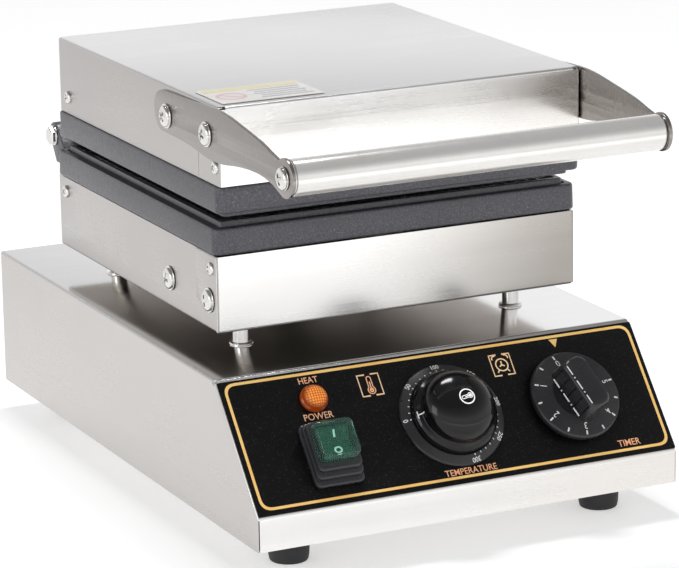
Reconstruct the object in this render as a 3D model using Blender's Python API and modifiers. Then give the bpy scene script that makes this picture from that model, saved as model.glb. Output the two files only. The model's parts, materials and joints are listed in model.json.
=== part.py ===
"""Waffle cone maker: a bench-top cast-plate press on a sloped control base.

Each sub-part is one named object. Lengths are in metres, +Z is up, the
controls face -Y. The origin is at floor level, below the middle of the box
that encloses the closed machine.
"""

import math

import bmesh
import bpy
from mathutils import Vector

# Driving dimensions
BASE_WIDTH = 0.260
BASE_DEPTH = 0.380
BASE_HEIGHT = 0.0826
LIP_HEIGHT = 0.019
SLOPE_TOP_DEPTH = 0.0541
FOOT_HEIGHT = 0.018
SHEET = 0.0012
GAP = 0.0003
FOLD_RADIUS = 0.0015

PAN_WIDTH = 0.224
PAN_FRONT = 0.0865
PAN_REAR = 0.3221
PAN_BOTTOM = 0.0982
PAN_TOP = 0.1418

PLATE_WIDTH = 0.227
LOWER_PLATE_FRONT = 0.086
LOWER_PLATE_REAR = 0.3204
LOWER_PLATE_BOTTOM = 0.1425
LOWER_PLATE_TOP = 0.1577
UPPER_PLATE_FRONT = 0.0803
UPPER_PLATE_REAR = 0.3165
UPPER_PLATE_BOTTOM = 0.167
UPPER_PLATE_TOP = 0.1825
RIM_INSET = 0.0055
RIM_WIDTH = 0.004
RIM_HEIGHT = 0.0028

CASING_WIDTH = 0.2242
CASING_FRONT = 0.0794
CASING_REAR = 0.315
CASING_BOTTOM = 0.1828
CASING_TOP = 0.2272

HINGE_DEPTH = 0.3335
HINGE_HEIGHT = 0.1631
HINGE_BOLT_RADIUS = 0.003
LUG_RADIUS = 0.008
LUG_ARCS = {"lower": (-60, 130), "upper": (-130, 60)}
LUG_SPANS = {"lower": (0.0980, 0.1095), "upper": (0.0862, 0.0977)}

HANDLE_DEPTH = -0.0084
HANDLE_HEIGHT = 0.206
HANDLE_RADIUS = 0.010
BRACKET_SHEET = 0.002
BRACKET_LOBE_RADIUS = 0.0108

GLAND_LENGTH = 0.014
LABEL_SHEET = 0.0004
SHAFT_RADIUS = 0.0030
SHAFT_TOP = 0.0180
SHAFT_BOTTOM = -0.0115
TIMER_REST_TURN = 17

# Centres of the controls on the sloped panel: across, and up the slope
LAMP_AT = (-0.0769, 0.0636)
SWITCH_AT = (-0.0775, 0.0298)
THERMOSTAT_AT = (0.0005, 0.0414)
TIMER_AT = (0.0765, 0.0400)

FOOT_AT = (0.0975, 0.032, 0.345)
STANDOFF_AT = (0.086, 0.115, 0.296)
RISER_AT = (0.0, 0.250)
CONDUIT_X = 0.060
CONDUIT_BASE_DEPTH = 0.352
CONDUIT_LID_HEIGHT = 0.205
GLAND_AT = (-0.080, 0.035)

# Screws through the side walls: depth behind the front lip, height
PAN_SCREWS_AT = {"front": (0.098, 0.1152), "rear": (0.1532, 0.1152)}
BRACKET_SCREWS_AT = {"front": (0.0916, 0.2105), "rear": (0.1464, 0.2105)}

# Worked out from the driving dimensions
FRONT_END = HANDLE_DEPTH - BRACKET_LOBE_RADIUS
REAR_END = BASE_DEPTH + GLAND_LENGTH
LIP_Y = -(FRONT_END + REAR_END) / 2
SLOPE_ANGLE = math.atan2(BASE_HEIGHT - LIP_HEIGHT, SLOPE_TOP_DEPTH)
SLOPE_LENGTH = math.hypot(BASE_HEIGHT - LIP_HEIGHT, SLOPE_TOP_DEPTH)
BRACKET_X = CASING_WIDTH / 2 + GAP + BRACKET_SHEET / 2
LABEL_TOP = GAP + LABEL_SHEET
SIDES = {"left": -1, "right": 1}

ALONG_X = (0, math.pi / 2, 0)
ALONG_Y = (-math.pi / 2, 0, 0)
IN_SIDE_PLANE = (math.pi / 2, 0, math.pi / 2)

# Name: colour, roughness, metallic
FINISHES = {
    "steel": ((0.78, 0.77, 0.76), 0.32, 1.0),
    "polished_steel": ((0.86, 0.86, 0.86), 0.16, 1.0),
    "plated_steel": ((0.70, 0.68, 0.64), 0.35, 1.0),
    "cast_metal": ((0.045, 0.046, 0.052), 0.55, 0.6),
    "black_plastic": ((0.012, 0.012, 0.014), 0.38, 0.0),
    "black_film": ((0.010, 0.010, 0.012), 0.45, 0.0),
    "black_rubber": ((0.016, 0.016, 0.017), 0.65, 0.0),
    "amber_lens": ((0.85, 0.22, 0.03), 0.15, 0.0),
    "green_lens": ((0.02, 0.33, 0.19), 0.20, 0.0),
    "clear_boot": ((0.10, 0.28, 0.22), 0.12, 0.0),
    "brass": ((0.72, 0.52, 0.24), 0.30, 1.0),
    "copper": ((0.75, 0.38, 0.22), 0.35, 1.0),
    "ceramic_fibre": ((0.86, 0.84, 0.78), 0.95, 0.0),
    "white_plastic": ((0.82, 0.82, 0.80), 0.45, 0.0),
    "paper_label": ((0.84, 0.80, 0.76), 0.50, 0.0),
}


def clear_scene():
    for obj in list(bpy.data.objects):
        bpy.data.objects.remove(obj, do_unlink=True)


def make_collection(name):
    collection = bpy.data.collections.new(name)
    bpy.context.scene.collection.children.link(collection)
    return collection


def make_finish(name):
    colour, roughness, metallic = FINISHES[name]
    finish = bpy.data.materials.get(name) or bpy.data.materials.new(name)
    finish.use_nodes = True
    shader = finish.node_tree.nodes["Principled BSDF"]
    shader.inputs["Base Color"].default_value = (*colour, 1)
    shader.inputs["Roughness"].default_value = roughness
    shader.inputs["Metallic"].default_value = metallic
    return finish


def at(x, depth, height):
    """World point from the distance behind the front lip and above the housing's lower edge."""
    return Vector((x, LIP_Y + depth, FOOT_HEIGHT + height))


def on_panel(x, up_slope, out):
    """World point from a place on the sloped panel and a distance out of it."""
    along = Vector((0, math.cos(SLOPE_ANGLE), math.sin(SLOPE_ANGLE)))
    normal = Vector((0, -math.sin(SLOPE_ANGLE), math.cos(SLOPE_ANGLE)))
    return at(x, 0, LIP_HEIGHT) + along * up_slope + normal * out


def make_frame(name, location, rotation=(0, 0, 0), parent=None):
    frame = bpy.data.objects.new(name, None)
    frame.empty_display_size = 0.02
    frame.location = location
    frame.rotation_euler = rotation
    frame.parent = parent
    parts.objects.link(frame)
    return frame


def add_part(name, data, finish, location=(0, 0, 0), rotation=(0, 0, 0), parent=None):
    part = bpy.data.objects.new(name, data)
    part.location = location
    part.rotation_euler = rotation
    part.parent = parent
    if finish is None:
        part.hide_render = True
        part.display_type = "WIRE"
        cutters.objects.link(part)
    else:
        data.materials.append(make_finish(finish))
        parts.objects.link(part)
    return part


def carry(part, frame):
    """Hangs a part that already lies in its place on a frame, so that it moves with it."""
    part.parent = frame
    part.matrix_parent_inverse = frame.matrix_basis.inverted()


def bevel(part, width, segments=2, angle=30):
    modifier = part.modifiers.new("rounded_edges", "BEVEL")
    modifier.width = width
    modifier.segments = segments
    modifier.limit_method = "ANGLE"
    modifier.angle_limit = math.radians(angle)


def join(part, other, operation="DIFFERENCE"):
    modifier = part.modifiers.new(operation.lower(), "BOOLEAN")
    modifier.operation = operation
    modifier.solver = "EXACT"
    modifier.object = other


def make_box(name, low, high, finish, **placing):
    """A box between two corners, which are local to its parent."""
    low = Vector(low)
    high = Vector(high)
    mesh = bpy.data.meshes.new(name)
    builder = bmesh.new()
    bmesh.ops.create_cube(builder, size=1)
    bmesh.ops.scale(builder, vec=high - low, verts=builder.verts)
    builder.to_mesh(mesh)
    builder.free()
    return add_part(name, mesh, finish, location=(low + high) / 2, **placing)


def make_turned(name, profile, finish, steps=24, closed=False, **placing):
    """A profile of (radius, height) points, top to bottom outside, turned about the local Z axis."""
    mesh = bpy.data.meshes.new(name)
    edges = [(i, i + 1) for i in range(len(profile) - 1)]
    if closed:
        edges.append((len(profile) - 1, 0))
    mesh.from_pydata([(radius, 0, height) for radius, height in profile], edges, [])
    part = add_part(name, mesh, finish, **placing)
    screw = part.modifiers.new("turned", "SCREW")
    screw.steps = steps
    screw.render_steps = steps
    screw.use_merge_vertices = True
    screw.merge_threshold = 0.00005
    screw.use_smooth_shade = True
    screw.use_normal_calculate = False
    return part


def make_pin(name, radius, low, high, finish, steps=24, **placing):
    profile = [(0, high), (radius, high), (radius, low), (0, low)]
    return make_turned(name, profile, finish, steps, **placing)


def as_mesh(curve_part, finish):
    """The same object as a mesh whose caps are welded, so that it can be cut or joined."""
    bpy.context.view_layer.update()
    graph = bpy.context.evaluated_depsgraph_get()
    mesh = bpy.data.meshes.new_from_object(curve_part.evaluated_get(graph))
    builder = bmesh.new()
    builder.from_mesh(mesh)
    bmesh.ops.remove_doubles(builder, verts=builder.verts, dist=0.00001)
    bmesh.ops.recalc_face_normals(builder, faces=builder.faces)
    builder.to_mesh(mesh)
    builder.free()
    mesh.materials.clear()
    placing = {
        "location": curve_part.location.copy(),
        "rotation": curve_part.rotation_euler.copy(),
        "parent": curve_part.parent,
    }
    name = curve_part.name
    bpy.data.objects.remove(curve_part)
    return add_part(name, mesh, finish, **placing)


def make_outline(name, points, thickness, finish, **placing):
    """A flat outline in the local XY plane, with its thickness centred on that plane."""
    curve = bpy.data.curves.new(name, "CURVE")
    curve.dimensions = "2D"
    curve.fill_mode = "BOTH"
    curve.extrude = thickness / 2
    spline = curve.splines.new("POLY")
    spline.points.add(len(points) - 1)
    for spline_point, (x, y) in zip(spline.points, points):
        spline_point.co = (x, y, 0, 1)
    spline.use_cyclic_u = True
    return as_mesh(add_part(name, curve, finish or "steel", **placing), finish)


def arc(centre, radius, start, end, steps=8):
    """Points on an arc, with the angles in degrees from the local X axis."""
    turns = [math.radians(start + (end - start) * i / steps) for i in range(steps + 1)]
    return [(centre[0] + radius * math.cos(t), centre[1] + radius * math.sin(t)) for t in turns]


def smooth_route(knots, per_span):
    """Points on a Catmull-Rom curve through the knots."""
    ends = [knots[0] * 2 - knots[1], *knots, knots[-1] * 2 - knots[-2]]
    route = []
    for before, start, end, after in zip(ends, ends[1:], ends[2:], ends[3:]):
        for i in range(per_span):
            t = i / per_span
            route.append(
                0.5 * (2 * start + (end - before) * t
                       + (2 * before - 5 * start + 4 * end - after) * t ** 2
                       + (3 * start - before - 3 * end + after) * t ** 3)
            )
    return [*route, knots[-1]]


def make_tube(name, route, radius, finish):
    """A round rod along a route, whose ends are filled."""
    curve = bpy.data.curves.new(name, "CURVE")
    curve.dimensions = "3D"
    curve.bevel_depth = radius
    curve.bevel_resolution = 2
    curve.use_fill_caps = True
    spline = curve.splines.new("POLY")
    spline.points.add(len(route) - 1)
    for spline_point, place in zip(spline.points, route):
        spline_point.co = (*place, 1)
    return add_part(name, curve, finish)


def cut_round(part_list, name, radius, low, high, **placing):
    cutter = make_pin(name, radius, low, high, None, 20, **placing)
    for part in part_list:
        join(part, cutter)


def cut_box(part_list, name, low, high, **placing):
    cutter = make_box(name, low, high, None, **placing)
    for part in part_list:
        join(part, cutter)


def make_sheet_shell(name, corners, faces, finish):
    """An open folded-sheet shell: flat faces with rounded folds, thickened inwards."""
    mesh = bpy.data.meshes.new(name)
    mesh.from_pydata([at(*corner) for corner in corners], [], faces)
    builder = bmesh.new()
    builder.from_mesh(mesh)
    bmesh.ops.recalc_face_normals(builder, faces=builder.faces)
    builder.to_mesh(mesh)
    builder.free()
    shell = add_part(name, mesh, finish)
    bevel(shell, FOLD_RADIUS, 2)
    skin = shell.modifiers.new("sheet", "SOLIDIFY")
    skin.thickness = SHEET
    skin.offset = -1
    skin.use_even_offset = True
    return shell


def make_tray(name, width, front, rear, closed_at, open_at, finish):
    """A five-sided sheet box, closed at one height and open at the other."""
    half = width / 2
    corners = [
        (x, depth, height)
        for height in (closed_at, open_at)
        for x, depth in ((-half, front), (half, front), (half, rear), (-half, rear))
    ]
    faces = [(0, 1, 2, 3), *((i, (i + 1) % 4, (i + 1) % 4 + 4, i + 4) for i in range(4))]
    if closed_at > open_at:
        faces = [tuple(reversed(face)) for face in faces]
    return make_sheet_shell(name, corners, [tuple(reversed(face)) for face in faces], finish)


def make_base_housing():
    half = BASE_WIDTH / 2
    outline = [
        (0, 0), (0, LIP_HEIGHT), (SLOPE_TOP_DEPTH, BASE_HEIGHT), (BASE_DEPTH, BASE_HEIGHT), (BASE_DEPTH, 0),
    ]
    corners = [(x, depth, height) for x in (-half, half) for depth, height in outline]
    faces = [(0, 1, 2, 3, 4), (9, 8, 7, 6, 5), (0, 5, 6, 1), (1, 6, 7, 2), (2, 7, 8, 3)]
    return make_sheet_shell("base_housing", corners, faces, "steel")


def make_rear_panel():
    inner = BASE_WIDTH / 2 - SHEET - 2 * GAP
    rear = BASE_DEPTH - GAP
    panel = make_box(
        "rear_panel",
        at(-inner, rear - SHEET, GAP),
        at(inner, rear, BASE_HEIGHT - SHEET - 2 * GAP),
        "steel",
    )
    for row in range(4):
        slot = 0.034 + 0.011 * row
        cut_box(
            [panel], f"rear_vent_{row}", at(0.020, rear - 0.004, slot), at(0.085, rear + 0.004, slot + 0.004)
        )
    cut_round(
        [panel], "gland_hole", 0.0083, -0.006, 0.006,
        location=at(GLAND_AT[0], BASE_DEPTH, GLAND_AT[1]), rotation=ALONG_Y,
    )


def make_bottom_plate():
    inner = BASE_WIDTH / 2 - SHEET - 2 * GAP
    low = at(-inner, SHEET + 2 * GAP, GAP)
    high = at(inner, BASE_DEPTH - SHEET - 3 * GAP, GAP + SHEET)
    plate = make_box("bottom_plate", low, high, "steel")
    for x in (-0.045, 0.045):
        for row in range(5):
            depth = 0.110 + 0.040 * row
            cut_box(
                [plate], f"floor_vent_{x:+.3f}_{row}",
                at(x - 0.030, depth, -0.004), at(x + 0.030, depth + 0.005, 0.006),
            )


def make_feet():
    top = 0.012
    toe = 0.0106
    bore = 0.0026
    recess = 0.0055
    recess_depth = 0.009
    profile = [
        (top, 0), (top, -0.0015), (toe + 0.0006, -FOOT_HEIGHT + 0.0020), (toe - 0.0006, -FOOT_HEIGHT + 0.0005),
        (toe - 0.0018, -FOOT_HEIGHT), (recess, -FOOT_HEIGHT), (recess, -FOOT_HEIGHT + recess_depth),
        (bore, -FOOT_HEIGHT + recess_depth), (bore, 0),
    ]
    x, front, rear = FOOT_AT
    for depth_name, depth in (("front", front), ("rear", rear)):
        for side_name, side in SIDES.items():
            make_turned(
                f"foot_{depth_name}_{side_name}", profile, "black_rubber", 20, closed=True,
                location=at(side * x, depth, 0),
            )


def make_control_panel(panel):
    """The printed film on the slope, and the holes that it shares with the housing."""
    half = BASE_WIDTH / 2 - 0.0006
    film = make_box(
        "control_label", (-half, 0.0007, GAP), (half, SLOPE_LENGTH - 0.0007, LABEL_TOP), "black_film",
        parent=panel,
    )
    sheets = [film, bpy.data.objects["base_housing"]]
    for name, place, radius in (("lamp", LAMP_AT, 0.0063), ("thermostat", THERMOSTAT_AT, 0.0055),
                                ("timer", TIMER_AT, 0.0055)):
        cut_round(sheets, f"{name}_hole", radius, -0.004, 0.004, location=(*place, 0), parent=panel)
    x, up_slope = SWITCH_AT
    cut_box(
        sheets, "switch_hole", (x - 0.0114, up_slope - 0.0154, -0.004), (x + 0.0114, up_slope + 0.0154, 0.004),
        parent=panel,
    )


def make_lamp(panel):
    flange = LABEL_TOP + GAP
    lens = [
        (0, 0.0078), (0.0035, 0.0074), (0.0060, 0.0058), (0.0070, 0.0036), (0.0080, 0.0026), (0.0080, flange),
        (0.0060, flange), (0.0060, -0.008), (0, -0.008),
    ]
    make_turned("lamp_lens", lens, "amber_lens", location=(*LAMP_AT, 0), parent=panel)
    holder = [
        (0, -0.0083), (0.0072, -0.0083), (0.0072, -0.024), (0.0030, -0.024), (0.0030, -0.031), (0, -0.031),
    ]
    make_turned("lamp_body", holder, "white_plastic", 16, location=(*LAMP_AT, 0), parent=panel)


def make_switch(panel):
    """A rocker in a stepped black housing, under a clear splash boot."""
    x, up_slope = SWITCH_AT
    switch = make_frame("switch_frame", (x, up_slope, 0), parent=panel)
    seat = LABEL_TOP + GAP
    body = make_box(
        "switch_body", (-0.0148, -0.0188, seat), (0.0148, 0.0188, 0.0046), "black_plastic", parent=switch
    )
    bevel(body, 0.0012, 2)
    steps = {"upper_step": (0.0134, 0.0172, 0.0040, 0.0104), "tail": (0.0111, 0.0151, -0.022, 0.0015)}
    for name, (half_width, half_length, low, high) in steps.items():
        step = make_box(
            f"switch_{name}", (-half_width, -half_length, low), (half_width, half_length, high), None,
            parent=switch,
        )
        join(body, step, "UNION")
    cut_box([body], "switch_well", (-0.0096, -0.0140, -0.003), (0.0096, 0.0140, 0.02), parent=switch)
    top = 0.0176
    boot = make_box(
        "switch_boot", (-0.0122, -0.0160, 0.0107), (0.0122, 0.0160, top), "clear_boot", parent=switch
    )
    bevel(boot, 0.0030, 3)
    cut_box([boot], "boot_hollow", (-0.0104, -0.0142, 0.008), (0.0104, 0.0142, top - 0.0010), parent=switch)
    return switch


def make_rocker(switch):
    pivot_height = 0.0052
    rest_tilt = math.radians(8)
    axis = make_frame("rocker_axis", (0, 0, pivot_height), (rest_tilt, 0, 0), switch)
    width = 0.0180
    side = [
        (-0.0122, 0.0090), (-0.0126, 0.0030), (-0.0050, -0.0062), (0.0050, -0.0062), (0.0126, 0.0030),
        (0.0122, 0.0090), (0, 0.0058),
    ]
    rocker = make_outline("power_rocker", side, width, "green_lens", rotation=IN_SIDE_PLANE, parent=axis)
    bevel(rocker, 0.0006, 1)


def make_control_body(name, half_size, depth, place, panel, round_case):
    """A control behind the panel, whose threaded neck stands through it and guides the shaft."""
    neck = 0.0052
    back = -SHEET - GAP - depth
    if round_case:
        body = make_pin(name, half_size, back, -SHEET - GAP, "plated_steel", location=(*place, 0), parent=panel)
    else:
        low = (place[0] - half_size, place[1] - half_size, back)
        high = (place[0] + half_size, place[1] + half_size, -SHEET - GAP)
        body = make_box(name, low, high, "plated_steel", parent=panel)
    collar = make_pin(f"{name}_neck", neck, -0.004, 0.0032, None, 20, location=(*place, 0), parent=panel)
    join(body, collar, "UNION")
    cut_round([body], f"{name}_bore", 0.0033, -0.012, 0.006, location=(*place, 0), parent=panel)


def make_thermostat(panel):
    make_control_body("thermostat_body", 0.019, 0.025, THERMOSTAT_AT, panel, round_case=False)
    seat = LABEL_TOP + GAP
    bezel = [
        (0.0293, 0.0042), (0.0310, 0.0024), (0.0310, seat), (0.0058, seat), (0.0058, 0.0034), (0.0262, 0.0034),
    ]
    make_turned(
        "thermostat_bezel", bezel, "black_plastic", 40, closed=True, location=(*THERMOSTAT_AT, 0), parent=panel
    )
    axis = make_frame("thermostat_axis", (*THERMOSTAT_AT, 0), parent=panel)
    make_pin("thermostat_shaft", SHAFT_RADIUS, SHAFT_BOTTOM, SHAFT_TOP, "plated_steel", 16, parent=axis)
    knob = [
        (0, 0.0260), (0.0100, 0.0256), (0.0160, 0.0240), (0.0198, 0.0208), (0.0214, 0.0165), (0.0216, 0.0125),
        (0.0232, 0.0100), (0.0246, 0.0080), (0.0250, 0.0046), (0.0033, 0.0046), (0.0033, 0.0183), (0, 0.0183),
    ]
    make_turned("thermostat_knob", knob, "black_plastic", 40, parent=axis)


def make_timer(panel):
    make_control_body("timer_body", 0.023, 0.032, TIMER_AT, panel, round_case=True)
    axis = make_frame("timer_axis", (*TIMER_AT, 0), (0, 0, math.radians(TIMER_REST_TURN)), panel)
    make_pin("timer_shaft", SHAFT_RADIUS, SHAFT_BOTTOM, SHAFT_TOP, "plated_steel", 16, parent=axis)
    skirt_profile = [
        (0, 0.0092), (0.0180, 0.0092), (0.0262, 0.0070), (0.0268, 0.0060), (0.0268, 0.0036), (0, 0.0036),
    ]
    skirt = make_turned("timer_skirt", skirt_profile, None, 40, parent=axis)
    grip = make_box(
        "timer_knob", (-0.0075, -0.0198, 0.0080), (0.0075, 0.0198, 0.0240), "black_plastic", parent=axis
    )
    bevel(grip, 0.0016, 2)
    join(grip, skirt, "UNION")
    bore = [(0, 0.0183), (0.0033, 0.0183), (0.0033, 0.0050), (0.0058, 0.0050), (0.0058, 0.0020), (0, 0.0020)]
    join(grip, make_turned("timer_knob_bore", bore, None, 20, parent=axis))


def make_capillary():
    """The thermostat's sensing line, which ends in a bulb under the lower plate."""
    bulb_height = LOWER_PLATE_BOTTOM - 0.006
    x, riser_depth = RISER_AT
    knots = [
        on_panel(*THERMOSTAT_AT, -SHEET - 2 * GAP - 0.025), on_panel(*THERMOSTAT_AT, -0.036),
        at(x, 0.085, 0.016),
        at(x, 0.150, 0.012), at(x, 0.212, 0.016), at(x, 0.244, 0.036), at(x, riser_depth, 0.065),
        at(x, riser_depth, 0.095), at(x, riser_depth, 0.122), at(x, riser_depth - 0.004, 0.132),
        at(x, riser_depth - 0.014, bulb_height), at(x, riser_depth - 0.024, bulb_height),
    ]
    line = smooth_route(knots, 3)
    bulb = [at(x, depth, bulb_height) for depth in (0.2255, 0.224, 0.136, 0.134)]
    tube = make_tube("thermostat_capillary", line + bulb, 0.001, "copper")
    points = tube.data.splines[0].points
    for index, scale in zip(range(len(line), len(points)), (2.2, 3.0, 3.0, 1.8)):
        points[index].radius = scale


def make_standoffs():
    bore = 0.0026
    low = BASE_HEIGHT + GAP
    high = PAN_BOTTOM - GAP
    profile = [
        (0.0048, high), (0.0048, low + 0.0012), (0.0068, low + 0.0012), (0.0068, low), (bore, low),
        (bore, high),
    ]
    x, front, rear = STANDOFF_AT
    for depth_name, depth in (("front", front), ("rear", rear)):
        for side_name, side in SIDES.items():
            make_turned(
                f"standoff_{depth_name}_{side_name}", profile, "polished_steel", 16, closed=True,
                location=at(side * x, depth, 0),
            )


def make_riser():
    """The hollow nipple that carries the leads from the base into the lower pan."""
    x, depth = RISER_AT
    profile = [(0.008, 0.104), (0.008, 0.076), (0.0068, 0.076), (0.0068, 0.104)]
    make_turned("wiring_riser", profile, "plated_steel", 20, closed=True, location=at(x, depth, 0))
    cut_round(
        [bpy.data.objects["base_housing"], bpy.data.objects["lower_pan"]], "riser_hole", 0.0083, 0.070, 0.110,
        location=at(x, depth, 0),
    )


def make_side_screws(name, wall_x, places, sheets, parent=None):
    """Domed screws through both side walls, and the holes in the sheets that they hold."""
    head = 0.0065
    shank = 0.0025
    height = 0.0030
    profile = [
        (0, height + GAP), (head * 0.62, height * 0.82 + GAP), (head, height * 0.25 + GAP), (head, GAP),
        (shank, GAP), (shank, -0.009), (0, -0.009),
    ]
    for place_name, (depth, up) in places.items():
        for side_name, side in SIDES.items():
            turn = (0, side * math.pi / 2, 0)
            spot = at(side * wall_x, depth, up) - (parent.location if parent else Vector())
            make_turned(
                f"{name}_{place_name}_{side_name}", profile, "polished_steel", 20,
                location=spot, rotation=turn, parent=parent,
            )
            cutter = make_pin(
                f"{name}_hole_{place_name}_{side_name}", shank + GAP, -0.012, 0.004, None, 16,
                location=spot, rotation=turn, parent=parent,
            )
            for sheet in sheets(side_name):
                join(bpy.data.objects[sheet], cutter)


def heater_route(height):
    """A serpentine of six legs, whose two ends face the rear."""
    legs = (-0.078, -0.046, -0.014, 0.014, 0.046, 0.078)
    front, rear = 0.114, 0.282
    route = [at(legs[0], 0.300, height)]
    for index, (start, end) in enumerate(zip(legs, legs[1:])):
        radius = (end - start) / 2
        centre = ((start + end) / 2, front if index % 2 == 0 else rear)
        turn = (180, 360) if index % 2 == 0 else (180, 0)
        route += [at(x, depth, height) for x, depth in arc(centre, radius, *turn, steps=6)]
    return [*route, at(legs[-1], 0.300, height)]


def make_element(name, height, parent=None):
    element = make_tube(name, heater_route(height), 0.004, "plated_steel")
    if parent:
        carry(element, parent)


def make_cast_plate(name, low, high, rim_low, rim_high, front, rear):
    """A cast plate with a raised rim round its baking face."""
    half = PLATE_WIDTH / 2
    plate = make_box(name, at(-half, front, low), at(half, rear, high), "cast_metal")
    bevel(plate, 0.0025, 2)
    rim_half = half - RIM_INSET
    rim = make_box(
        f"{name}_rim", at(-rim_half, front + RIM_INSET, rim_low), at(rim_half, rear - RIM_INSET, rim_high), None
    )
    join(plate, rim, "UNION")
    return plate


def make_plates(lid):
    """The two castings, with a baking field inside each rim and two hinge ears behind."""
    rim_overlap = 0.0015
    lower = make_cast_plate(
        "lower_plate", LOWER_PLATE_BOTTOM, LOWER_PLATE_TOP, LOWER_PLATE_TOP - rim_overlap,
        LOWER_PLATE_TOP + RIM_HEIGHT, LOWER_PLATE_FRONT, LOWER_PLATE_REAR,
    )
    upper = make_cast_plate(
        "upper_plate", UPPER_PLATE_BOTTOM, UPPER_PLATE_TOP, UPPER_PLATE_BOTTOM - RIM_HEIGHT,
        UPPER_PLATE_BOTTOM + rim_overlap, UPPER_PLATE_FRONT, UPPER_PLATE_REAR,
    )
    inset = RIM_INSET + RIM_WIDTH
    half = PLATE_WIDTH / 2 - inset
    cut_box(
        [lower], "lower_baking_field", at(-half, LOWER_PLATE_FRONT + inset, LOWER_PLATE_TOP),
        at(half, LOWER_PLATE_REAR - inset, LOWER_PLATE_TOP + 0.01),
    )
    cut_box(
        [upper], "upper_baking_field", at(-half, UPPER_PLATE_FRONT + inset, UPPER_PLATE_BOTTOM - 0.01),
        at(half, UPPER_PLATE_REAR - inset, UPPER_PLATE_BOTTOM),
    )
    blocks = {
        "lower": [(LOWER_PLATE_REAR - 0.004, LOWER_PLATE_BOTTOM + 0.0045), (HINGE_DEPTH - 0.002, 0.1470)],
        "upper": [(UPPER_PLATE_REAR - 0.004, UPPER_PLATE_TOP - 0.003), (UPPER_PLATE_REAR - 0.004, 0.1705)],
    }
    closing = {"lower": [(LOWER_PLATE_REAR - 0.004, 0.1560)], "upper": []}
    for plate, level in ((lower, "lower"), (upper, "upper")):
        inner, outer = LUG_SPANS[level]
        for side_name, side in SIDES.items():
            points = [
                *blocks[level],
                *arc((HINGE_DEPTH, HINGE_HEIGHT), LUG_RADIUS, *LUG_ARCS[level]),
                *closing[level],
            ]
            place = at(side * (inner + outer) / 2, 0, 0)
            lug = make_outline(
                f"{level}_lug_{side_name}", points, outer - inner, None, location=place, rotation=IN_SIDE_PLANE
            )
            join(plate, lug, "UNION")
    cut_round(
        [lower, upper], "hinge_bore", HINGE_BOLT_RADIUS + GAP, -0.12, 0.12,
        location=at(0, HINGE_DEPTH, HINGE_HEIGHT), rotation=ALONG_X,
    )
    carry(upper, lid)


def make_hinge_pins():
    for side_name, side in SIDES.items():
        turn = (0, side * math.pi / 2, 0)
        head_low = LUG_SPANS["lower"][1] + GAP
        inner_end = 0.0795
        bolt = [
            (0, head_low + 0.0034), (0.0045, head_low + 0.0032), (0.0062, head_low + 0.0014),
            (0.0062, head_low),
            (HINGE_BOLT_RADIUS, head_low), (HINGE_BOLT_RADIUS, inner_end), (0, inner_end),
        ]
        spot = at(0, HINGE_DEPTH, HINGE_HEIGHT)
        make_turned(f"hinge_bolt_{side_name}", bolt, "polished_steel", 20, location=spot, rotation=turn)
        high = LUG_SPANS["upper"][0] - GAP
        nut = make_pin(
            f"hinge_nut_{side_name}", 0.0058, high - 0.005, high, "plated_steel", 6,
            location=spot, rotation=turn,
        )
        cut_round(
            [nut], f"hinge_nut_bore_{side_name}", HINGE_BOLT_RADIUS + GAP, high - 0.01, high + 0.005,
            location=spot, rotation=turn,
        )


def make_layers(prefix, plate_low, plate_high, wool_low, wool_high, front, rear, lid=None):
    """The clamp plate that holds a heating element to its casting, and the fibre blanket behind it."""
    half = 0.095
    clamp = make_box(
        f"{prefix}_clamp_plate", at(-half, front, plate_low), at(half, rear, plate_high), "plated_steel"
    )
    wool = make_box(
        f"{prefix}_insulation", at(-half - 0.006, front - 0.004, wool_low),
        at(half + 0.006, rear + 0.004, wool_high), "ceramic_fibre",
    )
    bevel(wool, 0.004, 1)
    if lid:
        carry(clamp, lid)
        carry(wool, lid)
    else:
        x, depth = RISER_AT
        low = min(plate_low, wool_low) - 0.005
        high = max(plate_high, wool_high) + 0.002
        cut_round([clamp, wool], f"{prefix}_lead_hole", 0.010, low, high, location=at(x, depth, 0))


def make_conduit_fitting(name, location, rotation, parent=None):
    height = 0.015
    profile = [
        (0.0068, height), (0.0068, 0.0050), (0.0090, 0.0045), (0.0090, GAP), (0.0060, GAP), (0.0060, -0.008),
        (0.0040, -0.008), (0.0040, height),
    ]
    return make_turned(
        name, profile, "plated_steel", 20, closed=True, location=location, rotation=rotation, parent=parent
    )


def make_conduit(lid):
    """The flexible metal conduit behind the plates, which carries the upper element's leads."""
    base_point = at(CONDUIT_X, CONDUIT_BASE_DEPTH, BASE_HEIGHT)
    lid_point = at(CONDUIT_X, CASING_REAR, CONDUIT_LID_HEIGHT)
    make_conduit_fitting("conduit_fitting_base", base_point, (0, 0, 0))
    make_conduit_fitting("conduit_fitting_lid", lid_point - lid.location, ALONG_Y, lid)
    cut_round(
        [bpy.data.objects["base_housing"]], "conduit_hole_base", 0.0063, -0.006, 0.006, location=base_point
    )
    cut_round(
        [bpy.data.objects["upper_casing"]], "conduit_hole_lid", 0.0063, -0.006, 0.006,
        location=lid_point, rotation=ALONG_Y,
    )
    end = 0.015 + GAP
    knots = [
        at(CONDUIT_X, CONDUIT_BASE_DEPTH, BASE_HEIGHT + end), at(CONDUIT_X, 0.3525, 0.115),
        at(CONDUIT_X, 0.3600, 0.145), at(CONDUIT_X, 0.3660, 0.172), at(CONDUIT_X, 0.3610, 0.194),
        at(CONDUIT_X, 0.3460, 0.2045), at(CONDUIT_X, CASING_REAR + end, CONDUIT_LID_HEIGHT),
    ]
    make_tube("conduit", smooth_route(knots, 4), 0.005, "plated_steel")


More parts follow.
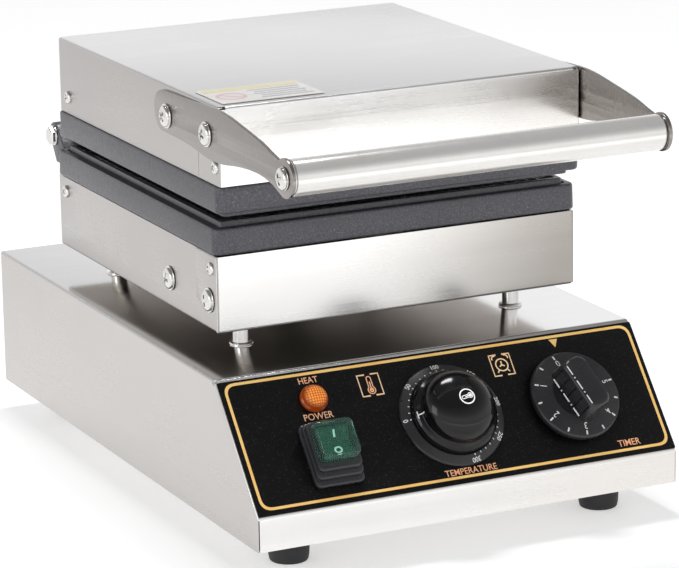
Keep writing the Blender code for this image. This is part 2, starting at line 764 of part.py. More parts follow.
def make_gland():
    """The gland that the mains cord enters by. Its bore is open right through."""
    profile = [
        (0.0070, GLAND_LENGTH), (0.0085, 0.0100), (0.0110, 0.0080), (0.0110, 0.0), (0.0080, 0.0),
        (0.0080, -0.011), (0.0045, -0.011), (0.0045, GLAND_LENGTH),
    ]
    make_turned(
        "cable_gland", profile, "black_plastic", 20, closed=True,
        location=at(GLAND_AT[0], BASE_DEPTH, GLAND_AT[1]), rotation=ALONG_Y,
    )


def make_terminal_block():
    low = at(-0.105, 0.300, SHEET + 2 * GAP)
    make_box("terminal_block", low, low + Vector((0.052, 0.022, 0.018)), "white_plastic")


def bracket_outline():
    """Depth and height points of a handle bracket, round at the handle and at the rear."""
    rear_centre = (0.1520, 0.2125)
    rear_radius = 0.0118
    return [
        *arc(rear_centre, rear_radius, -90, 90),
        (0.1150, 0.2254), (0.0850, 0.2268), (0.0670, 0.2264), (0.0440, 0.2234), (0.0210, 0.2198),
        (0.0070, 0.2164),
        *arc((HANDLE_DEPTH, HANDLE_HEIGHT), BRACKET_LOBE_RADIUS, 52, 290, steps=14),
        (0.0060, 0.1996), (0.0200, 0.2016), (0.0360, 0.2016), (0.0540, 0.2000), (0.0720, 0.1975),
        (0.0920, 0.1972), (0.1120, 0.1995), (0.1300, 0.2005),
    ]


def make_handle(lid):
    tube_half = BRACKET_X - BRACKET_SHEET / 2 - GAP
    plug = 0.008
    bore = 0.0023
    inner = HANDLE_RADIUS - SHEET
    profile = [
        (bore, tube_half), (HANDLE_RADIUS, tube_half), (HANDLE_RADIUS, -tube_half), (bore, -tube_half),
        (bore, plug - tube_half), (inner, plug - tube_half), (inner, tube_half - plug),
        (bore, tube_half - plug),
    ]
    centre = at(0, HANDLE_DEPTH, HANDLE_HEIGHT) - lid.location
    make_turned(
        "handle_tube", profile, "polished_steel", 28, closed=True, location=centre, rotation=ALONG_X, parent=lid
    )
    for side_name, side in SIDES.items():
        place = at(side * BRACKET_X, 0, 0) - lid.location
        bracket = make_outline(
            f"handle_bracket_{side_name}", bracket_outline(), BRACKET_SHEET, "steel",
            location=place, rotation=IN_SIDE_PLANE, parent=lid,
        )
        turn = (0, side * math.pi / 2, 0)
        outer = BRACKET_SHEET / 2
        spot = centre + Vector((side * BRACKET_X, 0, 0))
        screw = [
            (0, outer + 0.0034), (0.0040, outer + 0.0029), (0.0064, outer + 0.0010), (0.0064, outer + GAP),
            (0.0020, outer + GAP), (0.0020, -0.007), (0, -0.007),
        ]
        make_turned(
            f"handle_screw_{side_name}", screw, "polished_steel", 20, location=spot, rotation=turn, parent=lid
        )
        cut_round(
            [bracket], f"handle_hole_{side_name}", 0.0026, -0.004, 0.004,
            location=spot, rotation=turn, parent=lid,
        )


def make_lid_label(lid):
    """A plain paper label on the lid, with nothing printed on it."""
    low = at(-0.107, 0.0850, CASING_TOP + GAP) - lid.location
    make_box("lid_label", low, low + Vector((0.0615, 0.038, GAP)), "paper_label", parent=lid)


clear_scene()
parts = make_collection("waffle_cone_maker")
cutters = make_collection("cutters")

panel_frame = make_frame("panel_frame", at(0, 0, LIP_HEIGHT), (SLOPE_ANGLE, 0, 0))
lid_axis = make_frame("lid_axis", at(0, HINGE_DEPTH, HINGE_HEIGHT))

make_base_housing()
make_rear_panel()
make_bottom_plate()
make_feet()
make_control_panel(panel_frame)
make_lamp(panel_frame)
make_rocker(make_switch(panel_frame))
make_thermostat(panel_frame)
make_timer(panel_frame)
make_capillary()
make_standoffs()
make_gland()
make_terminal_block()

make_tray("lower_pan", PAN_WIDTH, PAN_FRONT, PAN_REAR, PAN_BOTTOM, PAN_TOP, "steel")
make_tray("upper_casing", CASING_WIDTH, CASING_FRONT, CASING_REAR, CASING_TOP, CASING_BOTTOM, "steel")
make_riser()
make_plates(lid_axis)
make_hinge_pins()
make_element("lower_heater", LOWER_PLATE_BOTTOM - 0.006)
make_element("upper_heater", UPPER_PLATE_TOP + 0.006, lid_axis)
make_layers("lower", 0.1275, 0.1290, 0.106, 0.1265, 0.104, 0.304)
make_layers("upper", 0.1945, 0.1960, 0.197, 0.2200, 0.098, 0.296, lid_axis)
make_handle(lid_axis)
make_lid_label(lid_axis)
make_conduit(lid_axis)
carry(bpy.data.objects["upper_casing"], lid_axis)
make_side_screws("pan_screw", PAN_WIDTH / 2, PAN_SCREWS_AT, lambda side: ["lower_pan"])
make_side_screws(
    "bracket_screw", BRACKET_X + BRACKET_SHEET / 2, BRACKET_SCREWS_AT,
    lambda side: ["upper_casing", f"handle_bracket_{side}"], lid_axis,
)
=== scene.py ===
"""Looks of the waffle cone maker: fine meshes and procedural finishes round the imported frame.

Lengths are in metres. Places come from the boxes of the CAD nodes. Pieces on the
sloped panel are built flat, with Z out of the panel, and then laid on it by PANEL.
"""

import json
import math

import bmesh
import bpy
from mathutils import Matrix, Vector


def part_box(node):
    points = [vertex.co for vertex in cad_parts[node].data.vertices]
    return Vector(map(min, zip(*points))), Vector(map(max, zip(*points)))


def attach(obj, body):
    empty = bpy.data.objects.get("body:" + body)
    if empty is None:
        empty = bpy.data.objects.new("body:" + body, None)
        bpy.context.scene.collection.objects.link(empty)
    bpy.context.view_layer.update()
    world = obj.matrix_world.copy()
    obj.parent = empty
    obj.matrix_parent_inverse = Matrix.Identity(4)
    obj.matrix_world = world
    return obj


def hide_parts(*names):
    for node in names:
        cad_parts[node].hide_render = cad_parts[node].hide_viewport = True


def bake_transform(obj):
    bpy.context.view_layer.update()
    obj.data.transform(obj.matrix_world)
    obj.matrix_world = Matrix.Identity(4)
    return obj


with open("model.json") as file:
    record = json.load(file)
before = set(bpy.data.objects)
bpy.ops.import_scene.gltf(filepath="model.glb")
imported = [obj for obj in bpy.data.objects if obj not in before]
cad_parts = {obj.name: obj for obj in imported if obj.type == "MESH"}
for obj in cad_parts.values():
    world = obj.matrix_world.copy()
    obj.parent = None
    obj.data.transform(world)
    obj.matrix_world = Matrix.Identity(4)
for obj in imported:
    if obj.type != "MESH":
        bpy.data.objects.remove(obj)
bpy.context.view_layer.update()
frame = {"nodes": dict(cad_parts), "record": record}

# Driving dimensions that no node's box gives
LIP_HEIGHT = 0.019
SLOPE_TOP_DEPTH = 0.0541
SHEET = 0.0012
GAP = 0.0003
PRINT_THICKNESS = 0.00006
FILM_TOP = 0.0007
LAMP_AT = (-0.0769, 0.0636)
LAMP_RADIUS = 0.008
LAMP_FACET = 0.0015
SWITCH_AT = (-0.0775, 0.0298)
SWITCH_HOLE_HALF = (0.0114, 0.0154)
ROCKER_MIDDLE = 0.0036
ROCKER_HALF_LENGTH = 0.0092
THERMOSTAT_AT = (0.0005, 0.0414)
THERMOSTAT_TURN = 260
TIMER_AT = (0.0765, 0.04)
TIMER_REST_TURN = 17
ROUND_HOLES = ((LAMP_AT, 0.0063), (THERMOSTAT_AT, 0.0055), (TIMER_AT, 0.0055))
HINGE_AT = (0.3335, 0.1631)
HINGE_BORE = 0.0033
HANDLE_AT = (-0.0084, 0.206)
BRACKET_SHEET = 0.002
BRACKET_X = 0.1134
LAP = 0.0004
CONDUIT_X = 0.06
CONDUIT_HOLE = 0.0063
RISER_HOLE = 0.0083
SCREW_HOLE = 0.0028
HANDLE_SCREW_HOLE = 0.0026
COLLAR_LENGTH = 0.015
PAN_SCREWS = ((0.098, 0.1152), (0.1532, 0.1152))
BRACKET_SCREWS = ((0.0916, 0.2105), (0.1464, 0.2105))
SMALL_PAN_SCREWS = ((0.0945, 0.1339), (0.3101, 0.1332))
SMALL_CASING_SCREWS = ((0.0855, 0.1928), (0.3011, 0.1928))
LUG_ARCS = {"lower": (-60, 130), "upper": (-130, 60)}
LUG_SPANS = {"lower": (0.098, 0.1095), "upper": (0.0862, 0.0977)}
PLATE_REARS = {"lower": 0.3204, "upper": 0.3165}

# The frame's main boxes
BASE_LOW, BASE_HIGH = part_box("base_housing")
PAN_LOW, PAN_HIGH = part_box("lower_pan")
CASING_LOW, CASING_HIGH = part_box("upper_casing")
LIP_Y = BASE_LOW.y
FLOOR_OF_BASE = BASE_LOW.z
SLOPE_RISE = BASE_HIGH.z - BASE_LOW.z - LIP_HEIGHT
SLOPE_ANGLE = math.atan2(SLOPE_RISE, SLOPE_TOP_DEPTH)
SLOPE_LENGTH = math.hypot(SLOPE_RISE, SLOPE_TOP_DEPTH)
move = Matrix.Translation
PANEL = move((0, LIP_Y, FLOOR_OF_BASE + LIP_HEIGHT)) @ Matrix.Rotation(SLOPE_ANGLE, 4, "X")
SIDES = {"left": -1, "right": 1}
CORNERS = [f"{end}_{side_name}" for end in ("front", "rear") for side_name in SIDES]
SIDE_PLANE = Matrix(((0, 0, 1, 0), (1, 0, 0, 0), (0, 1, 0, 0), (0, 0, 0, 1)))


def spin(degrees, axis):
    return Matrix.Rotation(math.radians(degrees), 4, axis)


def at(x, depth, height):
    """World point from the distance behind the lip and the height above the housing's lower edge."""
    return Vector((x, LIP_Y + depth, FLOOR_OF_BASE + height))


def middle(node_name):
    low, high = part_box(node_name)
    return (low + high) / 2


def upright_at(node_name, height=0.0):
    """The matrix of an upright turned piece on the middle axis of a CAD node."""
    x, y, _ = middle(node_name)
    return move((x, y, height))


def on_panel(place, turn=0.0):
    """The matrix of a control on the panel: Z points out of the panel, and turn is in degrees."""
    return PANEL @ move((*place, 0)) @ spin(turn, "Z")


def on_side(x):
    """The matrix that stands an outline of depths and heights upright in the plane at x."""
    return move(at(x, 0, 0)) @ SIDE_PLANE


def facing_out(side, place):
    """The matrix whose Z points out of the machine's left or right side."""
    return move(place) @ spin(side * 90, "Y")


# ---------------------------------------------------------------- camera, stage and light

def make_camera():
    azimuth = math.radians(-25.66)
    elevation = math.radians(14.81)
    roll = math.radians(-0.94)
    distance = 2.10038
    target = Vector((0.00006, -0.02204, 0.1123))
    data = bpy.data.cameras.new("camera")
    data.lens = 190.73
    data.sensor_width = 36
    data.clip_start = 0.05
    data.clip_end = 60
    camera = bpy.data.objects.new("camera", data)
    bpy.context.scene.collection.objects.link(camera)
    back = Vector((
        math.sin(azimuth) * math.cos(elevation), -math.cos(azimuth) * math.cos(elevation),
        math.sin(elevation),
    ))
    level = Vector((math.cos(azimuth), math.sin(azimuth), 0))
    upright = back.cross(level)
    right = level * math.cos(roll) + upright * math.sin(roll)
    up = -level * math.sin(roll) + upright * math.cos(roll)
    turn = Matrix((right, up, back)).transposed().to_4x4()
    camera.matrix_world = move(target + back * distance) @ turn
    bpy.context.scene.camera = camera


def add_area_light(name, place, aim, size, power):
    data = bpy.data.lights.new(name, "AREA")
    data.shape = "RECTANGLE"
    data.size, data.size_y = size
    data.energy = power
    light = bpy.data.objects.new(name, data)
    light.location = place
    light.rotation_euler = (Vector(aim) - Vector(place)).to_track_quat("-Z", "Y").to_euler()
    bpy.context.scene.collection.objects.link(light)


def make_world():
    """Bright at the horizon and dim overhead, so that the black panel stays black."""
    world = bpy.data.worlds.new("studio")
    bpy.context.scene.world = world
    world.use_nodes = True
    tree = world.node_tree
    levels = ((0.0, 1.0), (0.22, 1.12), (0.42, 0.62), (0.7, 0.26), (1.0, 0.3))
    stops = [(place, (level, level, level * 1.01)) for place, level in levels]
    sky = ramp(tree, axis_of(tree, node(tree, "TexCoord", "Generated"), "Z"), stops)
    tree.links.new(sky, tree.nodes["Background"].inputs["Color"])


def make_stage():
    builder = bmesh.new()
    bmesh.ops.create_grid(builder, x_segments=8, y_segments=8, size=9.0)
    floor = new_object("floor", builder, "floor")
    add_area_light("overhead_softbox", (0.1, 0.3, 1.55), (0, 0, 0.1), (0.55, 0.3), 11)
    add_area_light("left_fill", (-1.5, -0.4, 0.55), (0, 0, 0.12), (0.6, 0.6), 3)


# ---------------------------------------------------------------- node helpers

def node(tree, kind, output, inputs=None, **settings):
    """An output of a new node. Its inputs are values, or outputs of other nodes."""
    made = tree.nodes.new("ShaderNode" + kind)
    for name, value in settings.items():
        setattr(made, name, value)
    for name, value in (inputs or {}).items():
        socket = made.inputs[name]
        if isinstance(value, bpy.types.NodeSocket):
            tree.links.new(value, socket)
        else:
            socket.default_value = (*value, 1) if socket.type == "RGBA" else value
    return made.outputs[output]


def ramp(tree, factor, stops):
    """A colour that runs through (place, colour) stops."""
    output = node(tree, "ValToRGB", "Color", {"Fac": factor})
    elements = output.node.color_ramp.elements
    while len(elements) < len(stops):
        elements.new(0.5)
    for element, (place, colour) in zip(elements, stops):
        element.position = place
        element.color = (*colour, 1)
    return output


def own_place(tree):
    return node(tree, "TexCoord", "Object")


def axis_of(tree, vector, axis):
    return node(tree, "SeparateXYZ", axis, {"Vector": vector})


def length_of(tree, vector):
    return node(tree, "VectorMath", "Value", {0: vector}, operation="LENGTH")


def maths(tree, operation, first, second=0.0):
    return node(tree, "Math", "Value", {0: first, 1: second}, operation=operation)


def noise(tree, periods, detail=3.0, roughness=0.55):
    """A noise over the object's own coordinates, with one number of periods a metre or one for each axis."""
    scale = periods if isinstance(periods, (list, tuple)) else (periods,) * 3
    mapped = node(tree, "Mapping", "Vector", {"Vector": own_place(tree), "Scale": scale})
    inputs = {"Vector": mapped, "Scale": 1.0, "Detail": detail, "Roughness": roughness}
    return node(tree, "TexNoise", "Fac", inputs)


def spread(tree, value, low, high, from_low=0.3, from_high=0.7, kind="LINEAR"):
    """The value, mapped from one range to another."""
    inputs = {"Value": value, "From Min": from_low, "From Max": from_high, "To Min": low, "To Max": high}
    return node(tree, "MapRange", "Result", inputs, interpolation_type=kind)


def fade(tree, value, start, end):
    """0 before start, 1 after end, and smooth between. start may be above end."""
    return spread(tree, value, 0.0, 1.0, start, end, "SMOOTHSTEP")


def mix(tree, factor, first, second, blend="MIX"):
    """Two colours mixed. 6 and 7 are the Mix node's colour inputs, and 2 is its colour output."""
    return node(tree, "Mix", 2, {0: factor, 6: first, 7: second}, data_type="RGBA", blend_type=blend)


def vary(tree, pattern, first, second, low=0.3, high=0.7):
    """The first colour where the pattern is under low, and the second where it is over high."""
    return mix(tree, spread(tree, pattern, 0, 1, low, high), first, second)


def bump(tree, height, strength, distance):
    return node(tree, "Bump", "Normal", {"Height": height, "Strength": strength, "Distance": distance})


def new_finish(name, **constants):
    """A material and its node tree. constants are the shader's sockets that are the same all over."""
    material = bpy.data.materials.new(name)
    material.use_nodes = True
    for socket, value in constants.items():
        shader_socket(material.node_tree, socket).default_value = value
    return material, material.node_tree


def shader_socket(tree, name):
    return tree.nodes["Principled BSDF"].inputs[name.replace("_", " ")]


def connect(tree, **links):
    for socket, value in links.items():
        tree.links.new(value, shader_socket(tree, socket))


def shade(colour, factor):
    return tuple(channel * factor for channel in colour)


def grey(level):
    return (level,) * 3


# ---------------------------------------------------------------- finishes

def floor_finish():
    """A pale sweep with a pool of light in front, which the steel fronts reflect."""
    material, tree = new_finish("pale_floor", Roughness=0.9, Emission_Strength=1.0)
    place = own_place(tree)
    distance = length_of(tree, place)
    in_front = fade(tree, axis_of(tree, place, "Y"), -0.42, -0.86)
    pool = maths(tree, "MULTIPLY", in_front, fade(tree, distance, 1.9, 1.3))
    glow = mix(tree, fade(tree, distance, 0.5, 1.8), grey(0.4), grey(0.47))
    connect(
        tree, Base_Color=vary(tree, noise(tree, 3), grey(0.86), grey(0.88)),
        Emission_Color=mix(tree, pool, glow, (1.2, 1.2, 1.18)),
    )
    return material


def metal_finish(
    name, colour, roughness, grain="X", grain_depth=0.1, smudge=0.06, stain=0.94, right=None, metallic=1.0
):
    """Brushed sheet: fine grain along one axis, broad streaks, and faint smudges in the gloss.

    right is the tone that the sheet takes towards its right-hand end: a painted shade that stands in for a
    darker reflection.
    """
    material, tree = new_finish(name, Metallic=metallic)
    axis = "XYZ".index(grain)
    fine, broad = [900.0] * 3, [130.0] * 3
    fine[axis], broad[axis] = 9.0, 2.5
    streaks = maths(tree, "MULTIPLY", maths(tree, "ADD", noise(tree, fine, 2.0), noise(tree, broad)), 0.5)
    blotches = noise(tree, 14, 4.0, 0.6)
    gloss = maths(
        tree, "ADD", spread(tree, streaks, roughness - grain_depth, roughness + grain_depth, 0.25, 0.75),
        spread(tree, blotches, -smudge, smudge),
    )
    tone = vary(tree, streaks, shade(colour, stain), colour)
    smudge_and_painted_shade = vary(tree, blotches, (0.975, 0.97, 0.965), grey(1.0), 0.35, 0.65)
    # Painted shade: the colour darkens along X towards the right-hand end, standing in for a darker
    # reflection.
    if right:
        across = axis_of(tree, own_place(tree), "X")
        right_painted_shade = mix(tree, fade(tree, across, -0.05, 0.125), grey(1.0), right)
        smudge_and_painted_shade = mix(tree, 1.0, smudge_and_painted_shade, right_painted_shade, "MULTIPLY")
    connect(
        tree, Base_Color=mix(tree, 1.0, tone, smudge_and_painted_shade, "MULTIPLY"), Roughness=gloss,
        Normal=bump(tree, streaks, 0.1, 0.00006),
    )
    return material


def polished_finish(name, colour, roughness=0.13):
    """Bright turned or drawn metal with hair scratches and faint fingerprints."""
    material, tree = new_finish(name, Metallic=1.0)
    scratches = noise(tree, (60, 1500, 1500), 2.0)
    prints = spread(tree, noise(tree, 90), roughness - 0.03, roughness + 0.06)
    connect(
        tree, Base_Color=vary(tree, scratches, shade(colour, 0.95), colour),
        Roughness=maths(tree, "ADD", prints, spread(tree, scratches, 0, 0.04)),
        Normal=bump(tree, scratches, 0.05, 0.00003),
    )
    return material


def cast_finish():
    """Coated cast metal: charcoal with a fine sparkle and a grainy skin."""
    material, tree = new_finish(
        "coated_casting", Metallic=0.35, Coat_Weight=0.12, Coat_Roughness=0.35, Specular_IOR_Level=0.6,
    )
    grains = noise(tree, 900, 2.0, 0.7)
    stops = [(0.36, (0.052, 0.052, 0.06)), (0.62, (0.092, 0.092, 0.104)), (0.76, (0.19, 0.19, 0.21))]
    wear = vary(tree, noise(tree, 18), (0.85, 0.85, 0.86), grey(1.0))
    connect(
        tree, Base_Color=mix(tree, 1.0, ramp(tree, grains, stops), wear, "MULTIPLY"),
        Roughness=spread(tree, noise(tree, 300), 0.3, 0.42), Normal=bump(tree, grains, 0.2, 0.0001),
    )
    return material


def film_finish():
    """The control film: black with a sparse fine glitter under a satin coat."""
    material, tree = new_finish(
        "control_film", Coat_Weight=0.08, Coat_Roughness=0.25, Specular_IOR_Level=0.16,
    )
    cells = {"Vector": own_place(tree), "Scale": 2200.0, "Randomness": 1.0}
    cell_red = node(tree, "SeparateColor", "Red", {"Color": node(tree, "TexVoronoi", "Color", cells)})
    connect(
        tree, Base_Color=vary(tree, cell_red, (0.0026, 0.0026, 0.0032), (0.034, 0.036, 0.042), 0.95, 1.0),
        Roughness=spread(tree, noise(tree, 40), 0.42, 0.52),
        Normal=bump(tree, noise(tree, 1500, 2.0), 0.1, 0.00005),
    )
    return material


def plastic_finish(name, colour, roughness, fleck=0.0, grain=1200.0, relief=0.1, gloss=0.5):
    """Moulded plastic or rubber: a fine skin texture and a little unevenness in gloss and tone."""
    material, tree = new_finish(name, Specular_IOR_Level=gloss)
    skin = noise(tree, grain, 2.0)
    patches = noise(tree, 45)
    tone = vary(tree, patches, shade(colour, 0.86), shade(colour, 1.1))
    if fleck:
        tone = mix(tree, spread(tree, skin, 0, fleck, 0.62, 0.8), tone, shade(colour, 5))
    connect(
        tree, Base_Color=tone, Roughness=spread(tree, patches, roughness - 0.05, roughness + 0.07),
        Normal=bump(tree, skin, relief, 0.00006),
    )
    return material


def clear_finish(name, colour, roughness, transmission, ior=1.47, glow=0.0):
    """Tinted clear plastic with slight ripples in its surface."""
    material, tree = new_finish(name, Transmission_Weight=transmission, IOR=ior, Emission_Strength=glow)
    ripples = noise(tree, 220, 2.0)
    tone = vary(tree, ripples, shade(colour, 0.82), colour)
    connect(
        tree, Base_Color=tone, Roughness=spread(tree, ripples, roughness, roughness + 0.06),
        Normal=bump(tree, ripples, 0.08, 0.0001),
    )
    if glow:
        connect(tree, Emission_Color=tone)
    return material


def amber_finish():
    """A lit amber lens: pale in the middle, brown at the rim, and dark along the lines between its facets."""
    material, tree = new_finish(
        "amber_lens", Transmission_Weight=0.25, IOR=1.49, Roughness=0.12, Emission_Strength=0.3,
    )
    place = own_place(tree)
    lines = 1.0
    for axis in "XY":
        turns = maths(tree, "MULTIPLY", axis_of(tree, place, axis), math.pi / LAMP_FACET)
        lines = maths(tree, "MULTIPLY", lines, maths(tree, "ABSOLUTE", maths(tree, "COSINE", turns)))
    flat = node(tree, "VectorMath", "Vector", {0: place, 1: (1, 1, 0)}, operation="MULTIPLY")
    rim = fade(tree, length_of(tree, flat), LAMP_RADIUS * 0.52, LAMP_RADIUS * 0.92)
    tone = mix(tree, fade(tree, lines, 0.1, 0.75), (0.62, 0.13, 0.012), (1.0, 0.42, 0.055))
    tone = mix(tree, rim, tone, (0.26, 0.042, 0.003))
    speckle = noise(tree, 500, 2.0)
    tone = mix(tree, 1.0, tone, mix(tree, speckle, grey(0.8), grey(1.1)), "MULTIPLY")
    connect(tree, Base_Color=tone, Emission_Color=tone, Normal=bump(tree, speckle, 0.05, 0.00005))
    return material


def ink_finish(name, first, second, glow=0.0):
    """Screen-printed ink that runs from one tone to the other in soft patches. glow is painted light: it
    makes the ink shine by emission.
    """
    material, tree = new_finish(name, Roughness=0.42, Emission_Strength=glow)
    tone = vary(tree, noise(tree, 30), first, second, 0.35, 0.65)
    cover = vary(tree, noise(tree, 1400, 1.0), grey(0.84), grey(1.0))
    printed_tone = mix(tree, 1.0, tone, cover, "MULTIPLY")
    connect(tree, Base_Color=printed_tone, Normal=bump(tree, noise(tree, 900), 0.08, 0.00004))
    # Painted light: the ink shines by emission, though it is no lamp.
    if glow:
        connect(tree, Emission_Color=printed_tone)
    return material


def fibre_finish():
    material, tree = new_finish("ceramic_fibre", Sheen_Weight=0.4, Roughness=0.95)
    strands = noise(tree, (90, 700, 260), 6.0, 0.75)
    tone = vary(tree, strands, (0.68, 0.65, 0.56), (0.9, 0.88, 0.82))
    connect(tree, Base_Color=tone, Normal=bump(tree, strands, 0.6, 0.0006))
    return material


def make_finishes():
    made = {"floor": floor_finish(), "cast": cast_finish(), "film": film_finish(), "amber": amber_finish()}
    made["fibre"] = fibre_finish()
    # steel_side, steel_top, steel_under, steel_lid and steel_wall are copies of one sheet steel whose
    # lightness differs by the way each face looks: painted light and shade.
    for key, name, *look in (
        ("steel", "steel_sheet", (0.7, 0.685, 0.67), 0.27),
        ("steel_side", "steel_side", (0.575, 0.555, 0.54), 0.3, "Y", 0.07),
        ("steel_top", "steel_top", (0.74, 0.735, 0.73), 0.12, "X", 0.03, 0.02),
        # Painted shade: the trays' undersides get a darker copy of the steel.
        ("steel_under", "heat_stained_steel", (0.52, 0.47, 0.42), 0.4),
        ("steel_lid", "steel_lid", (0.8, 0.797, 0.795), 0.3, "X", 0.05, 0.03),
        ("steel_wall", "steel_wall", (0.5, 0.48, 0.467), 0.3, "Y", 0.07),
        ("bracket", "bracket_steel", (0.32, 0.3, 0.285), 0.26, "Y", 0.06),
        ("plated", "plated_steel", (0.6, 0.58, 0.54), 0.36, "Z", 0.06),
    ):
        made[key] = metal_finish(name, *look)
    # Painted light and shade: the fronts, the brow and the lip are lighter copies of the same steel, each
    # darkened towards its right-hand end by a painted shade.
    for name, colour, roughness, right in (
        ("steel_front", (0.86, 0.85, 0.835), 0.24, (0.46, 0.435, 0.41)),
        ("steel_brow", (0.98, 0.975, 0.965), 0.28, (0.8, 0.78, 0.76)),
        ("steel_lip", (0.9, 0.89, 0.875), 0.24, (0.9, 0.875, 0.85)),
    ):
        made[name] = metal_finish(name, colour, roughness, grain_depth=0.07, right=right)
    made["handle"] = metal_finish("handle_steel", (0.84, 0.825, 0.8), 0.21, "X", 0.04, 0.02, metallic=0.6)
    for key, name, colour, roughness in (
        ("polished", "polished_steel", (0.82, 0.81, 0.79), 0.13),
        ("screw", "screw_steel", (0.74, 0.725, 0.7), 0.12),
        ("conduit", "conduit_steel", (0.62, 0.61, 0.59), 0.26),
        ("copper", "copper_tube", (0.75, 0.4, 0.24), 0.28),
    ):
        made[key] = polished_finish(name, colour, roughness)
    for key, name, *look in (
        ("gloss_black", "gloss_black_plastic", (0.004, 0.004, 0.005), 0.12, 0.0, 350, 0.003, 0.38),
        ("ring_black", "dial_black_plastic", (0.02, 0.02, 0.022), 0.27, 0.15, 1500),
        ("satin_black", "satin_black_plastic", (0.016, 0.016, 0.018), 0.36, 0.35),
        ("switch_black", "switch_black_plastic", (0.03, 0.03, 0.033), 0.25, 0.15, 1200, 0.1, 0.7),
        ("rubber", "black_rubber", (0.018, 0.018, 0.019), 0.62, 0.0, 700, 0.25),
        ("white_plastic", "white_plastic", (0.78, 0.77, 0.73), 0.42),
    ):
        made[key] = plastic_finish(name, *look)
    made["boot"] = clear_finish("clear_boot", (0.5, 0.84, 0.72), 0.03, 0.96, 1.28)
    made["rocker"] = clear_finish("green_rocker", (0.006, 0.13, 0.075), 0.12, 0.15, glow=0.03)
    # The glow at the end of a row is painted light: the ink shines by emission, most of all bright_white_ink.
    for key, name, *look in (
        ("ink_yellow", "yellow_ink", (1.0, 0.68, 0.24), (0.95, 0.54, 0.15), 0.18),
        ("ink_orange", "orange_ink", (0.95, 0.44, 0.22), (0.93, 0.54, 0.33), 0.2),
        ("ink_cream", "cream_ink", (0.98, 0.72, 0.44), (0.95, 0.62, 0.34), 0.2),
        ("mark_white", "bright_white_ink", grey(0.9), grey(0.86), 0.5),
        ("ink_white", "white_ink", grey(0.86), grey(0.8)),
        ("paper", "label_paper", (0.84, 0.82, 0.79), (0.78, 0.76, 0.73)),
        ("label_yellow", "label_yellow", (0.8, 0.74, 0.42), (0.76, 0.7, 0.42)),
        ("label_grey", "label_grey", (0.5, 0.5, 0.52), (0.56, 0.56, 0.58)),
        ("label_pink", "label_pink", (0.74, 0.5, 0.52), (0.7, 0.46, 0.5)),
    ):
        made[key] = ink_finish(name, *look)
    return made


SLOT_FINISH = {
    "steel": "steel", "polished_steel": "polished", "plated_steel": "plated", "cast_plate": "cast",
    "black_plastic": "satin_black", "control_film": "film", "black_rubber": "rubber", "amber_lens": "amber",
    "green_rocker": "rocker", "clear_boot": "boot", "copper": "copper", "ceramic_fibre": "fibre",
    "white_plastic": "white_plastic", "label_film": "paper",
}


def dress_frame():
    """Gives every CAD node that stays the finish of its slot."""
    for entry in frame["record"]["subparts"]:
        obj = frame["nodes"][entry["node"]]
        obj.data.materials.clear()
        obj.data.materials.append(finishes[SLOT_FINISH[entry["material_slot"]]])


# ---------------------------------------------------------------- mesh helpers

def new_object(name, builder, finish, place=None, sharp=32):
    """An object from a bmesh, shaded smooth up to the given angle."""
    bmesh.ops.recalc_face_normals(builder, faces=builder.faces)
    mesh = bpy.data.meshes.new(name)
    builder.to_mesh(mesh)
    builder.free()
    return shown(name, mesh, finish, place, sharp)


def shown(name, mesh, finish, place=None, sharp=32):
    mesh.materials.clear()
    mesh.materials.append(finishes[finish])
    shade_smooth(mesh, sharp)
    obj = bpy.data.objects.new(name, mesh)
    obj.matrix_world = place or Matrix()
    bpy.context.scene.collection.objects.link(obj)
    return obj


def shade_smooth(mesh, sharp=32):
    mesh.shade_smooth()
    mesh.set_sharp_from_angle(angle=math.radians(sharp))


def evaluated_mesh(obj):
    bpy.context.view_layer.update()
    graph = bpy.context.evaluated_depsgraph_get()
    return bpy.data.meshes.new_from_object(obj.evaluated_get(graph))


def settle(obj):
    """Applies the object's modifiers to its mesh."""
    mesh = evaluated_mesh(obj)
    obj.modifiers.clear()
    obj.data = mesh
    shade_smooth(mesh)
    return obj


def combine(obj, cutters, operation="DIFFERENCE"):
    """Cuts the cutters from the object, or joins them to it, and removes them."""
    for cutter in cutters:
        modifier = obj.modifiers.new(operation.lower(), "BOOLEAN")
        modifier.operation = operation
        modifier.solver = "EXACT"
        modifier.object = cutter
    settle(obj)
    for cutter in cutters:
        bpy.data.objects.remove(cutter)
    return obj


def join_meshes(obj, others):
    """Adds the meshes of other objects, as they stand, to the object's own mesh."""
    builder = bmesh.new()
    builder.from_mesh(obj.data)
    for other in others:
        mesh = other.data.copy()
        mesh.transform(obj.matrix_world.inverted() @ other.matrix_world)
        builder.from_mesh(mesh)
        bpy.data.objects.remove(other)
        bpy.data.meshes.remove(mesh)
    builder.to_mesh(obj.data)
    builder.free()
    obj.data.set_sharp_from_angle(angle=math.radians(32))
    return obj


def fillet(corners, closed=False, steps=5):
    """Points of an outline whose corners, given as (x, y, radius), are rounded."""
    points = []
    for index, (x, y, radius) in enumerate(corners):
        here = Vector((x, y))
        at_end = not closed and index in (0, len(corners) - 1)
        if radius == 0 or at_end:
            points.append(here)
            continue
        before = Vector(corners[index - 1][:2]) - here
        after = Vector(corners[(index + 1) % len(corners)][:2]) - here
        reach = min(radius / math.tan(before.angle(after) / 2), before.length * 0.49, after.length * 0.49)
        start = here + before.normalized() * reach
        end = here + after.normalized() * reach
        for step in range(steps + 1):
            t = step / steps
            points.append(start * (1 - t) ** 2 + here * 2 * t * (1 - t) + end * t ** 2)
    return points


def rounded_outline(low, high, radius, steps=8):
    corners = ((low[0], low[1]), (high[0], low[1]), (high[0], high[1]), (low[0], high[1]))
    return fillet([(x, y, radius) for x, y in corners], closed=True, steps=steps)


